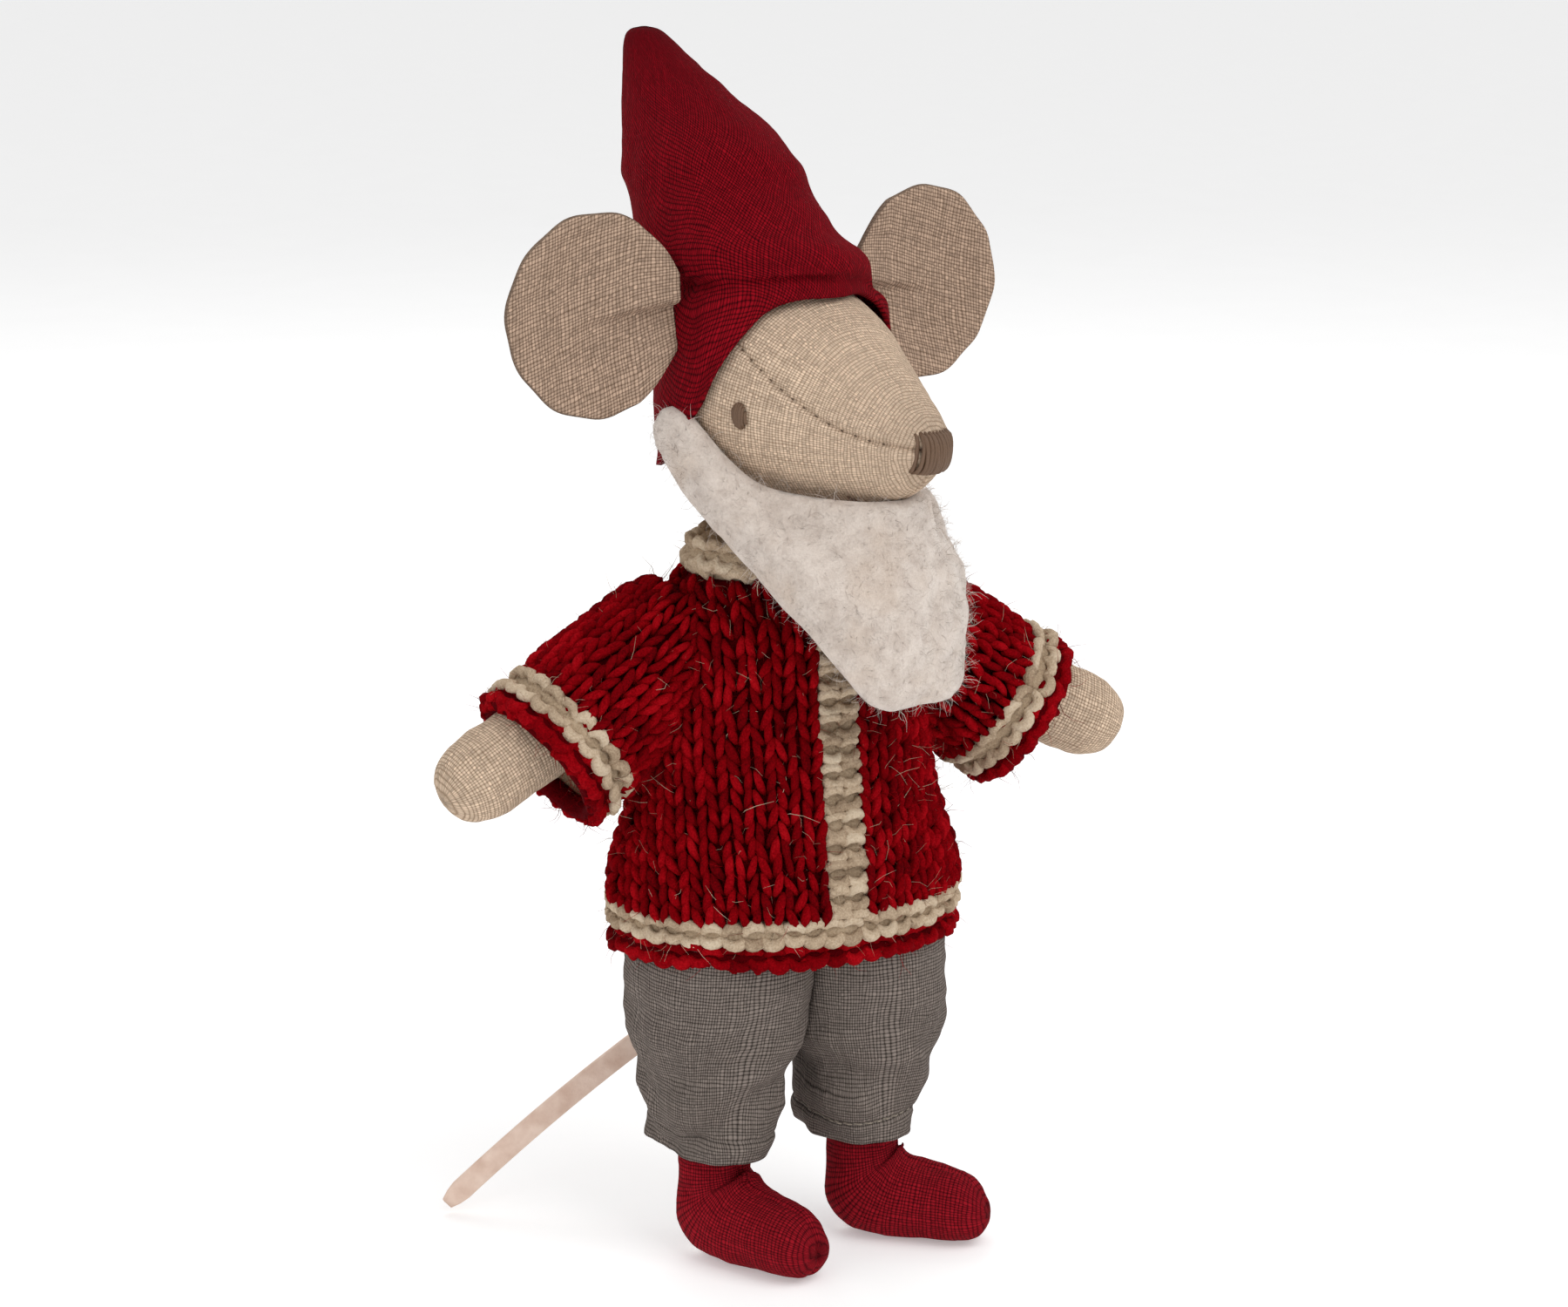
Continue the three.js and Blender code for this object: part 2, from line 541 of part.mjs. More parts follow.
// Half of a bag that is round from above, narrow at the foot and wide at the ears
function beardLoft(inset) {
  const span = beardTop + 4 - (beardBottom - 2);
  const profile = [[0, 0], [1, 0], [1, 0.25], [1, 0.5], [1, 0.75], [1, 1], [0, 1]];
  return solid(shaped(turned(profile, 20), (point) => {
    const t = THREE.MathUtils.clamp(point.z, 0, 1);
    const halfWidth = THREE.MathUtils.lerp(BEARD_HALF_BOTTOM, BEARD_HALF_TOP, Math.sqrt(t)) - inset;
    const depth = THREE.MathUtils.lerp(BEARD_DEPTH_BOTTOM, BEARD_DEPTH_TOP, t) - inset;
    const middleBottom = BEARD_DEPTH_BOTTOM - snoutFront + 4;
    const middleTop = BEARD_DEPTH_TOP - snoutFront + 3.1;
    point.x *= halfWidth;
    point.y = point.y * depth + THREE.MathUtils.lerp(middleBottom, middleTop, t);
    point.z = beardBottom - 2 + span * t;
  }));
}

// Side outline: up the free back edge, along the jaw and down the front
function beardOutline(grow) {
  return solid(across([
    [-snoutFront + 8.5 - grow, beardBottom - grow], [-18 + grow, beardBottom + 8.5 - grow],
    [-10.5 + grow, beardBottom + 17.5 - grow], [0 + grow, headCentre - 12.8 - grow],
    [6.5 + grow, beardTop - 0.8], [5.5 + grow, beardTop + grow], [-1.7, beardTop + 0.4 + grow],
    [-6, beardTop - 4 + grow], [-11.3, beardTop - 6.4 + grow], [-22.5, beardTop - 8.6 + grow],
    [-FAR, beardTop - 9 + grow], [-FAR, beardBottom - grow],
  ]));
}

const fleece = beardLoft(0).subtract(beardLoft(FLEECE)).intersect(beardOutline(0));
const beard = clear(fleece, headGrown, mouth(GAP));
add(head, 'beard', beard, FLEECE_COLOUR, 1);

// --- Cap: a tall linen cone leaning back and to the doll's right, with a slit for each ear ---
const capFoot = 4;
const earHeight = headCentre + EAR_ABOVE_CENTRE;
const capHeight = headCentre + HEAD_RADIUS + CAP_PEAK - capFoot;

// Share of the cap's height at a height on the head, in head radii above its centre, or on the peak
const onHead = (radii) => (headCentre + radii * HEAD_RADIUS - capFoot) / capHeight;
const onPeak = (share) => 1 - ((1 - share) * CAP_PEAK) / capHeight;
const capBase = HEAD_RADIUS + GAP + LINEN + CAP_EASE;
const capLean = (side, back, share) => new THREE.Vector3(-side * CAP_LEAN_SIDE, back * CAP_LEAN_BACK, share);
const capCentres = new THREE.CatmullRomCurve3([
  capLean(0, 0.06, 0),
  capLean(0, 0, onHead(0.1)),
  capLean(0.1, 0.06, onHead(0.75)),
  capLean(0.37, 0.28, onPeak(0.09)),
  capLean(0.63, 0.61, onPeak(0.6)),
  capLean(0.84, 0.83, onPeak(0.77)),
  capLean(1, 1, 1),
]);

// Share of the height, then half width and half depth in cap radii
const capSections = [
  [0, 1, 1],
  [onHead(0.1), 1.02, 1.02],
  [onHead(0.8), 0.93, 0.97],
  [onPeak(0.09), 0.77, 0.88],
  [onPeak(0.6), 0.48, 0.72],
  [onPeak(0.77), 0.3, 0.45],
  [1, CAP_TIP / capBase, CAP_TIP / capBase],
];

// The cap's section at a share of its height: an ellipse about the centre line
function capAt(share) {
  let low = 0;
  let high = 1;
  for (let i = 0; i < 24; i += 1) {
    const middle = (low + high) / 2;
    if (capCentres.getPoint(middle).z < share) low = middle;
    else high = middle;
  }
  const centre = capCentres.getPoint(low);
  const next = Math.max(1, capSections.findIndex(([stop]) => stop >= share - 1e-9));
  const [from, fromX, fromY] = capSections[next - 1];
  const [to, toX, toY] = capSections[next];
  const mix = (share - from) / (to - from);
  const halfX = THREE.MathUtils.lerp(fromX, toX, mix) * capBase;
  const halfY = THREE.MathUtils.lerp(fromY, toY, mix) * capBase;
  return { centre, halfX, halfY };
}

const CAP_STEPS = 14;

function capSolid(inset, from, to) {
  const profile = [[0, from], [1, from]];
  for (let i = 1; i < CAP_STEPS; i += 1) {
    if (i / CAP_STEPS > from && i / CAP_STEPS < to) profile.push([1, i / CAP_STEPS]);
  }
  profile.push([1, to], [0, to]);
  return solid(shaped(turned(profile, 18), (point) => {
    const { centre, halfX, halfY } = capAt(THREE.MathUtils.clamp(point.z, 0, 1));
    point.x = centre.x + point.x * Math.max(0.5, halfX - inset);
    point.y = centre.y + point.y * Math.max(0.5, halfY - inset);
    point.z = capFoot + point.z * capHeight;
  }));
}

const capTop = 1 - LINEN / capHeight;
const faceTilt = Math.atan2(HEAD_RADIUS, HEAD_RADIUS + 3);
const faceOpening = solid(block([-FAR, -FAR, -FAR], [FAR, 0, FAR]).rotateX(faceTilt)
  .translate(0, -HEAD_RADIUS, headCentre + 18));
const capAtEars = capAt((earHeight - capFoot) / capHeight);
const slit = half([-FAR, EAR_BACK - SLIT_HALF, earHeight - SLIT_BELOW_EAR],
  [FAR, EAR_BACK + SLIT_HALF, earHeight + SLIT_ABOVE_EAR]);
const capShell = capSolid(0, 0, 1).subtract(capSolid(LINEN, -0.05, capTop));
add(head, 'cap', clear(capShell, faceOpening, beardOutline(GAP), slit), RED_LINEN);
const fillFrom = (headCentre + HEAD_RADIUS + GAP + 1 - capFoot) / capHeight;
const fillTo = capTop - 2 * GAP / capHeight;
add(head, 'cap_wadding', capSolid(LINEN + WADDING_EASE, fillFrom, fillTo), STUFFING_COLOUR);

// --- Ears: a front and a back disc sewn together, gathered into the cap's slit ---
for (const [name, side] of sides) {
  const ear = group(head, capAtEars.centre.x + side * (capAtEars.halfX + TURN_GAP), EAR_BACK, earHeight);
  ear.name = `ear_hinge_${name}`;
  ear.rotation.z = EAR_TURN[name] * RADIANS;
  const shape = new THREE.Shape();
  const opening = Math.acos((EAR_REACH - EAR_NECK) / EAR_RADIUS);
  const rimSteps = 20;
  shape.moveTo(-side * EAR_TUCK, -EAR_ROOT_HALF);
  for (let i = 0; i <= rimSteps; i += 1) {
    const turn = Math.PI + opening + (i / rimSteps) * (2 * Math.PI - 2 * opening);
    shape.lineTo(side * (EAR_REACH + EAR_RADIUS * Math.cos(turn)), EAR_RADIUS * Math.sin(turn));
  }
  shape.lineTo(-side * EAR_TUCK, EAR_ROOT_HALF);
  const disc = () => new THREE.ExtrudeGeometry(shape, { depth: EAR_THICKNESS, bevelEnabled: false })
    .rotateX(Math.PI / 2);
  add(ear, `ear_front_${name}`, disc().translate(0, -GAP / 2, 0), EAR_COLOUR);
  add(ear, `ear_back_${name}`, disc().translate(0, GAP / 2 + EAR_THICKNESS, 0), EAR_COLOUR);
}

// --- Tail: a leather strip standing on edge, bending down to the floor ---
const tailRootY = (bodyRadius(TAIL_ROOT_HEIGHT) - seatInset) * BODY_DEPTH;
const tail = group(doll, 0, tailRootY + 1, TAIL_ROOT_HEIGHT);
tail.name = 'tail_root';
tail.rotation.z = TAIL_TURN * RADIANS;
const tailDrop = TAIL_ROOT_HEIGHT - TAIL_WIDTH / 2;
const tailSide = new THREE.Shape();
const tailSteps = 12;
const tailLine = (t) => [TAIL_REACH * t, -tailDrop * ((1 - TAIL_SAG) * t + TAIL_SAG * t * t)];
for (let i = 0; i <= tailSteps; i += 1) {
  const [y, z] = tailLine(i / tailSteps);
  if (i === 0) tailSide.moveTo(y, z + TAIL_WIDTH / 2);
  else tailSide.lineTo(y, z + TAIL_WIDTH / 2);
}
for (let i = tailSteps; i >= 0; i -= 1) {
  const [y, z] = tailLine(i / tailSteps);
  tailSide.lineTo(y, z - TAIL_WIDTH / 2);
}
const strip = new THREE.ExtrudeGeometry(tailSide, { depth: TAIL_THICKNESS, bevelEnabled: false })
  .translate(0, 0, -TAIL_THICKNESS / 2).applyMatrix4(new THREE.Matrix4().makeBasis(
    new THREE.Vector3(0, 1, 0), new THREE.Vector3(0, 0, 1), new THREE.Vector3(1, 0, 0)));
add(tail, 'tail', strip, LEATHER_COLOUR, 0.7);

// The origin is on the floor, under the middle of the whole doll
const box = new THREE.Box3().setFromObject(doll, true);
const middle = box.getCenter(new THREE.Vector3());
doll.position.set(-middle.x, -middle.y, -box.min.z);

export default doll;
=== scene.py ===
import json
import math

import bpy
import numpy as np
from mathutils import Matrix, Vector, noise


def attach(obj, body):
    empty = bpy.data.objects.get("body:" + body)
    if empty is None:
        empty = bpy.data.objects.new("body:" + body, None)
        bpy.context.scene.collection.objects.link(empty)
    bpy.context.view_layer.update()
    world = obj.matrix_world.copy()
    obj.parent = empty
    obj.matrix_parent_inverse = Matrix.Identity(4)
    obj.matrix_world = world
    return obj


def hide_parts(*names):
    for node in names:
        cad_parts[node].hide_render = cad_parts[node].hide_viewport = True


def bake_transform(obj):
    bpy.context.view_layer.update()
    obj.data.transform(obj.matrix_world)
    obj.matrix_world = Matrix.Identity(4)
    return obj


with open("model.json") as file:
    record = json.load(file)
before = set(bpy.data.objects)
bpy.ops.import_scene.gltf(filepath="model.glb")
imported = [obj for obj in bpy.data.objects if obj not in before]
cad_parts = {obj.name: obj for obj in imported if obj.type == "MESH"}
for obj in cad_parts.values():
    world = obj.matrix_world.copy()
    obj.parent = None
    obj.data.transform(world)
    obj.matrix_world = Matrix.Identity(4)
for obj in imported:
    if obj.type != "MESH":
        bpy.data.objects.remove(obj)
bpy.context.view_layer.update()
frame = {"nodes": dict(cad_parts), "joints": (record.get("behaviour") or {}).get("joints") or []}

# --- Studio ---
# A pale table top under plain soft light, seen a little from the doll's right and from above.
MM = 0.001
joints = {joint["name"]: np.array(joint["pos_m"]) / MM for joint in frame["joints"]}
BODY_Y = joints["hip_right"][1]
CAMERA_TURN = -23
CAMERA_RISE = 13
CAMERA_DISTANCE = 520
LOOK_HEIGHT = 87

turn = math.radians(CAMERA_TURN)
rise = math.radians(CAMERA_RISE)
back = Vector((math.sin(turn) * math.cos(rise), -math.cos(turn) * math.cos(rise), math.sin(rise)))
camera = bpy.data.objects.new("camera", bpy.data.cameras.new("camera"))
camera.data.lens = 85
camera.data.sensor_width = 36
camera.data.clip_start = 0.01
camera.location = Vector((0, BODY_Y * MM, LOOK_HEIGHT * MM)) + back * CAMERA_DISTANCE * MM
camera.rotation_euler = back.to_track_quat("Z", "Y").to_euler()
bpy.context.collection.objects.link(camera)
bpy.context.scene.camera = camera


def soft_light(name, power, size, azimuth, elevation, distance=0.9):
    lamp = bpy.data.lights.new(name, "AREA")
    lamp.energy = power
    lamp.size = size
    light = bpy.data.objects.new(name, lamp)
    a, e = math.radians(azimuth), math.radians(elevation)
    aim = Vector((math.sin(a) * math.cos(e), -math.cos(a) * math.cos(e), math.sin(e)))
    light.location = Vector((0, BODY_Y * MM, 0.09)) + aim * distance
    light.rotation_euler = aim.to_track_quat("Z", "Y").to_euler()
    bpy.context.collection.objects.link(light)


soft_light("key_light", 3.6, 0.7, 25, 48)
soft_light("fill_light", 1.4, 0.9, -70, 25)
soft_light("rim_light", 1.6, 0.6, 165, 45)

world = bpy.data.worlds.new("studio")
bpy.context.scene.world = world
world.use_nodes = True
world.node_tree.nodes["Background"].inputs["Color"].default_value = (1, 1, 1, 1)
world.node_tree.nodes["Background"].inputs["Strength"].default_value = 0.62
bpy.context.scene.view_settings.view_transform = "Standard"


class Amount:
    """A number that a material works out at each point. Sums written on it add their Math nodes."""

    def __init__(self, tree, socket):
        self.tree = tree
        self.socket = socket

    def work(self, operation, *values):
        node = self.tree.nodes.new("ShaderNodeMath")
        node.operation = operation
        for place, value in zip(node.inputs, values):
            if isinstance(value, Amount):
                self.tree.links.new(value.socket, place)
            else:
                place.default_value = value
        return Amount(self.tree, node.outputs[0])

    def __add__(self, other):
        return self.work("ADD", self, other)

    def __radd__(self, other):
        return self.work("ADD", other, self)

    def __sub__(self, other):
        return self.work("SUBTRACT", self, other)

    def __rsub__(self, other):
        return self.work("SUBTRACT", other, self)

    def __mul__(self, other):
        return self.work("MULTIPLY", self, other)

    def __rmul__(self, other):
        return self.work("MULTIPLY", other, self)

    def __truediv__(self, other):
        return self.work("DIVIDE", self, other)

    def __mod__(self, other):
        return self.work("FLOORED_MODULO", self, other)

    def floor(self):
        return self.work("FLOOR", self)

    def fraction(self):
        return self.work("FRACT", self)

    def cosine(self):
        return self.work("COSINE", self)

    def root(self):
        return self.work("SQRT", self.work("MAXIMUM", self, 0.0))

    def between(self, low, high):
        return self.work("MULTIPLY", self - low, 1 / (high - low)).work_clamped()

    def work_clamped(self):
        return self.work("MINIMUM", self.work("MAXIMUM", self, 0.0), 1.0)


class Finish:
    """A material in the making: its shader, and one method that adds any other node."""

    def __init__(self, name, **shader):
        self.material = bpy.data.materials.new(name)
        self.material.use_nodes = True
        self.tree = self.material.node_tree
        self.shader = self.tree.nodes["Principled BSDF"]
        for socket, value in shader.items():
            self.shader.inputs[socket.replace("_", " ")].default_value = value

    def plug(self, socket, value):
        if isinstance(value, Amount):
            self.tree.links.new(value.socket, socket)
        elif isinstance(value, tuple) and len(value) == 3 and socket.type == "RGBA":
            socket.default_value = (*value, 1)
        else:
            socket.default_value = value

    def node(self, kind, settings=None, output=0, **sockets):
        node = self.tree.nodes.new(kind)
        for name, value in (settings or {}).items():
            setattr(node, name, value)
        for name, value in sockets.items():
            self.plug(node.inputs[name.replace("_", " ")], value)
        return Amount(self.tree, node.outputs[output])

    def mix(self, factor, a, b):
        node = self.tree.nodes.new("ShaderNodeMix")
        node.data_type = "RGBA"
        for place, value in ((0, factor), (6, a), (7, b)):
            self.plug(node.inputs[place], value)
        return Amount(self.tree, node.outputs[2])

    def split(self, vector):
        node = self.tree.nodes.new("ShaderNodeSeparateXYZ")
        self.tree.links.new(vector.socket, node.inputs[0])
        return [Amount(self.tree, output) for output in node.outputs]

    def place(self, x, y, z=0.0):
        return self.node("ShaderNodeCombineXYZ", X=x, Y=y, Z=z)

    def grain(self, vector, scale, detail=2.0, roughness=0.5):
        return self.node("ShaderNodeTexNoise", {}, 0, Vector=vector, Scale=scale, Detail=detail, Roughness=roughness)

    def bumps(self, height, strength, distance):
        bump = self.node("ShaderNodeBump", {}, 0, Height=height, Strength=strength, Distance=distance * MM)
        self.plug(self.shader.inputs["Normal"], bump)

    def done(self, colour, roughness=None):
        self.plug(self.shader.inputs["Base Color"], colour)
        if roughness is not None:
            self.plug(self.shader.inputs["Roughness"], roughness)
        return self.material


def paint(red, green, blue):
    """A colour as a dye card gives it, 0 to 255, turned into light."""
    return tuple(((c / 255 + 0.055) / 1.055) ** 2.4 if c > 10 else c / 255 / 12.92 for c in (red, green, blue))


FLOOR_SIZE = 16
floor_mesh = bpy.data.meshes.new("floor")
edge = FLOOR_SIZE / 2
floor_mesh.from_pydata([(-edge, -edge, 0), (edge, -edge, 0), (edge, edge, 0), (-edge, edge, 0)], [], [(0, 1, 2, 3)])
floor = bpy.data.objects.new("floor", floor_mesh)
floor.location.z = -0.0001
bpy.context.collection.objects.link(floor)
paper = Finish("floor_paper", Roughness=0.9, Emission_Color=(1, 1, 1, 1), Emission_Strength=0.3)
floor_grain = paper.grain(paper.node("ShaderNodeTexCoord", {}, 3), 40)
floor_mesh.materials.append(paper.done(paper.mix(floor_grain, (0.86, 0.86, 0.86), (0.9, 0.9, 0.9))))


# --- Stuffing and the hidden linen body ---
# The doll is sewn from unbleached linen and filled with loose white wadding. The torso and
# the legs are hidden by the clothes. Each filling stays in place inside its skin.
def linen(name, thread, gap, pitch, bias=False, slub=0.35, source="cloth", relief=0.12):
    """Plain weave: two sets of threads that cross over and under, each a little uneven. The gap colour is painted
    shade, laid where the weave sinks between and under the threads.
    """
    made = Finish(name, Roughness=0.96, Specular_IOR_Level=0.06)
    if source == "cloth":
        x, y, _ = made.split(made.node("ShaderNodeUVMap", {"uv_map": "cloth"}))
    else:
        x, _, y = made.split(made.node("ShaderNodeTexCoord", {}, 3))
        x, y = x / MM, y / MM
    if bias:
        x, y = (x + y) * 0.7071, (y - x) * 0.7071
    wander_x = made.grain(made.place(x * 0.5, y * 0.09), 1.0) - 0.5
    wander_y = made.grain(made.place(x * 0.09, y * 0.5, 7.0), 1.0) - 0.5
    u = x / pitch + wander_x * 2.2
    v = y / pitch + wander_y * 2.2
    over = (u.floor() + v.floor()) % 2.0
    u_in, v_in = u.fraction() - 0.5, v.fraction() - 0.5
    across = u_in * (1 - over) + v_in * over
    along = v_in * (1 - over) + u_in * over
    crown = (1 - across * across * 3.6).root()
    height = crown * (0.55 + 0.45 * (along * math.pi).cosine())
    warp = made.node("ShaderNodeTexWhiteNoise", {"noise_dimensions": "1D"}, 0, W=u.floor())
    weft = made.node("ShaderNodeTexWhiteNoise", {"noise_dimensions": "1D"}, 0, W=v.floor() + 900.0)
    streak = made.grain(made.place(x * 2.4, y * 2.4), 1.0, 3.0)
    crossing = made.node("ShaderNodeTexWhiteNoise", {"noise_dimensions": "2D"}, 0, Vector=made.place(u.floor(), v.floor()))
    tone = (warp * (1 - over) + weft * over) * 0.25 + crossing * 0.35 + streak * 0.4
    dark, pale = (tuple(min(1, c * by) for c in thread) for by in (0.6, 1.3))
    light = made.mix(tone.between(0.5 - slub, 0.5 + slub), dark, pale)
    made.bumps(height + streak * 0.3, 1.0, relief)
    # Painted shade: the low places of the weave take the dark gap colour.
    return made.done(made.mix(height.between(0.3, 0.85), gap, light))


wadding = Finish("stuffing", Roughness=1.0)
tufts = wadding.grain(wadding.node("ShaderNodeTexCoord", {}, 3), 700, 4.0)
wadding.bumps(tufts, 0.6, 0.4)
wadding = wadding.done(wadding.mix(tufts, paint(226, 222, 212), paint(250, 248, 242)))
# The second colour of each linen here is painted shade for the gaps between its threads.
hidden_linen = linen("body_linen", paint(190, 172, 148), paint(120, 104, 84), 0.46, source="object")
elastic = linen("elastic", paint(232, 228, 220), paint(180, 176, 168), 0.7, source="object")


def repaint(name, material):
    data = frame["nodes"][name].data
    data.materials.clear()
    data.materials.append(material)


SIDES = {"right": -1, "left": 1}
filled = ["torso_stuffing", "head_stuffing", "cap_wadding"]
for side in SIDES:
    filled += [f"arm_stuffing_{side}", f"leg_stuffing_{side}", f"boot_stuffing_{side}"]
    repaint(f"leg_skin_{side}", hidden_linen)
for name in filled:
    repaint(name, wadding)
repaint("torso_skin", hidden_linen)
repaint("waist_elastic", elastic)


# --- Tail ---
# One narrow strip of undyed leather with cut edges, sewn into the back seam on edge. It
# droops to the table and ends square, with its corners rubbed round.
def volume(points, faces):
    total = 0.0
    for face in faces:
        a, b, c = points[list(face[:3])]
        total += np.dot(a, np.cross(b, c))
        if len(face) == 4:
            a, b, c = points[[face[0], face[2], face[3]]]
            total += np.dot(a, np.cross(b, c))
    return total


def body_mesh(name, points, faces, cloth, material):
    """A mesh from points in millimetres, with a cloth map given for each corner of each face."""
    if volume(points, faces) < 0:
        faces = [face[::-1] for face in faces]
        cloth = [corners[::-1] for corners in cloth]
    mesh = bpy.data.meshes.new(name)
    mesh.from_pydata([tuple(point) for point in points * MM], [], faces)
    layer = mesh.uv_layers.new(name="cloth")
    layer.data.foreach_set("uv", np.array([uv for corners in cloth for uv in corners], "f").ravel())
    mesh.shade_smooth()
    mesh.materials.append(material)
    obj = bpy.data.objects.new(name, mesh)
    bpy.context.collection.objects.link(obj)
    return obj


def unrolled(rings):
    """Cloth map of a tube: the way round at its widest, and the way along its middle."""
    wide = np.linalg.norm(np.diff(np.concatenate([rings, rings[:, :1]], 1), axis=1), axis=2).sum(1).max()
    steps = np.linalg.norm(np.diff(rings.mean(1), axis=0), axis=1)
    along = np.concatenate([[0], np.cumsum(steps)])
    round_ = np.linspace(0, wide, rings.shape[1] + 1)
    return np.stack(np.meshgrid(round_, along), -1)


def tube(name, rings, material, cloth=None, open_ends=False):
    """A skin over rings of points. Its ends are closed unless it is to be given a thickness."""
    rings = np.asarray(rings, float)
    count, around = rings.shape[:2]
    cloth = unrolled(rings) if cloth is None else np.concatenate([cloth, cloth[:, :1]], 1)
    points = rings.reshape(-1, 3)
    faces, corners = [], []
    for i in range(count - 1):
        for j in range(around):
            k = (j + 1) % around
            faces.append((i * around + j, i * around + k, (i + 1) * around + k, (i + 1) * around + j))
            corners.append((cloth[i, j], cloth[i, j + 1], cloth[i + 1, j + 1], cloth[i + 1, j]))
    if not open_ends:
        for row, centre, flip in ((0, len(points), False), (count - 1, len(points) + 1, True)):
            for j in range(around):
                k = (j + 1) % around
                fan = (centre, row * around + k, row * around + j)
                uv = (cloth[row].mean(0), cloth[row, j + 1], cloth[row, j])
                faces.append(fan[::-1] if flip else fan)
                corners.append(uv[::-1] if flip else uv)
        points = np.vstack([points, rings[0].mean(0), rings[-1].mean(0)])
    return body_mesh(name, points, faces, corners, material)


leather = Finish("tail_leather", Roughness=0.75, Specular_IOR_Level=0.3)
hide = leather.node("ShaderNodeTexCoord", {}, 3)
pores = leather.node("ShaderNodeTexVoronoi", {}, 0, Vector=hide, Scale=2600.0)
mottle = leather.grain(hide, 420, 4.0)
leather.bumps(pores * 0.6 + leather.grain(hide, 3000, 3.0), 0.5, 0.06)
leather = leather.done(leather.mix(mottle.between(0.3, 0.7), paint(212, 182, 164), paint(232, 208, 192)))

TAIL_TURN = 74
TAIL_REACH = 44
TAIL_WIDTH = 3.3
TAIL_THICKNESS = 1.0
TAIL_TIP_HEIGHT = 1.35
TAIL_TUCK = 1.5


def rounded_box(width, height, corner, steps=3):
    """A rectangle section with round corners, counter-clockwise."""
    section = []
    for x, y, start in ((1, 1, 0), (-1, 1, 90), (-1, -1, 180), (1, -1, 270)):
        for step in range(steps + 1):
            angle = math.radians(start + 90 * step / steps)
            section.append((x * (width / 2 - corner) + corner * math.cos(angle),
                            y * (height / 2 - corner) + corner * math.sin(angle)))
    return np.array(section)


tail_root = joints["tail_swing"]
out = np.array([-math.sin(math.radians(TAIL_TURN)), math.cos(math.radians(TAIL_TURN)), 0])
flat = np.array([out[1], -out[0], 0])
tail_rings = []
TAIL_STEPS = 44
for step in range(TAIL_STEPS + 1):
    t = step / TAIL_STEPS
    drop = (tail_root[2] - TAIL_TIP_HEIGHT) * (0.82 * t + 0.18 * t * t)
    slope = (tail_root[2] - TAIL_TIP_HEIGHT) * (0.82 + 0.36 * t) / TAIL_REACH
    up = np.array([*(out[:2] * slope), 1]) / math.hypot(1, slope)
    sway = 0.5 * math.sin(math.pi * t)
    centre = tail_root + out * (TAIL_REACH * t - TAIL_TUCK * (1 - t)) + flat * sway - np.array([0, 0, drop])
    end = min(1, 0.55 + 1.2 * min(t, 1 - t) * TAIL_STEPS / 4)
    section = rounded_box(TAIL_THICKNESS, TAIL_WIDTH * end, 0.28)
    tail_rings.append([centre + flat * a + up * b for a, b in section])
tail = tube("tail_strip", tail_rings, leather)
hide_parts("tail")
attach(tail, "tail")


# --- Boots ---
# Two soft boots of red linen, each of two side pieces sewn together up the instep and along
# the sole, and filled tight. They are pulled over the legs and tucked into the trouser hems.
# The second colour is painted shade for the gaps between the threads.
boot_linen = linen("boot_linen", paint(148, 22, 34), paint(50, 2, 8), 0.56, slub=0.4, relief=0.2)
BOOT_SECTIONS = [
    # forward, height, lean of the section, half length along it, half width
    (0.0, 21.5, 0, 4.9, 5.0),
    (0.0, 18.0, 0, 5.0, 5.1),
    (0.0, 14.6, 2, 5.0, 5.2),
    (0.2, 11.4, 14, 5.4, 5.4),
    (0.4, 8.7, 40, 7.0, 5.6),
    (2.2, 7.0, 60, 7.4, 5.8),
    (5.1, 6.0, 77, 6.2, 5.8),
    (9.0, 5.6, 86, 5.6, 5.6),
    (12.5, 5.4, 90, 5.3, 5.4),
    (15.6, 5.1, 92, 4.8, 4.9),
    (17.7, 4.8, 94, 3.7, 3.9),
    (18.9, 4.6, 95, 2.0, 2.3),
    (19.2, 4.5, 95, 0.5, 0.6),
]
FOOT_TURN = {"right": 28, "left": 50}
ANKLE_FORWARD = 1.8


def eased(stations, count):
    """A smooth run of rows through the given rows, which are its stations."""
    rows = np.asarray(stations, float)
    last = len(rows) - 1
    padded = np.vstack([2 * rows[0] - rows[1], rows, 2 * rows[-1] - rows[-2]])
    out_rows = []
    for t in np.linspace(0, last, count):
        i = min(int(t), last - 1)
        f = t - i
        a, b, c, d = padded[i:i + 4]
        out_rows.append(0.5 * (2 * b + (c - a) * f + (2 * a - 5 * b + 4 * c - d) * f ** 2
                               + (3 * b - a - 3 * c + d) * f ** 3))
    return np.array(out_rows)


def outward(rings):
    """The direction straight out of a tube at each of its points."""
    around = np.roll(rings, -1, 1) - np.roll(rings, 1, 1)
    along = np.gradient(rings, axis=0)
    normal = np.cross(around, along)
    normal /= np.maximum(np.linalg.norm(normal, axis=2, keepdims=True), 1e-9)
    centre = rings.mean(1, keepdims=True)
    return normal if (normal * (rings - centre)).sum() > 0 else -normal


def rumple(points, size, seed, stretch=(1, 1, 1)):
    """Soft unevenness between -1 and 1 with lumps of about that size in millimetres."""
    flat_points = points.reshape(-1, 3) * np.array(stretch) / size + seed * 7.3
    made = [noise.noise(Vector(point)) + 0.4 * noise.noise(Vector(point * 2.1)) for point in flat_points]
    return np.array(made).reshape(points.shape[:-1])


def dip(distance, width):
    """A rounded groove: 1 at its middle, fading to 0 over its width."""
    return np.exp(-(distance / width) ** 2)


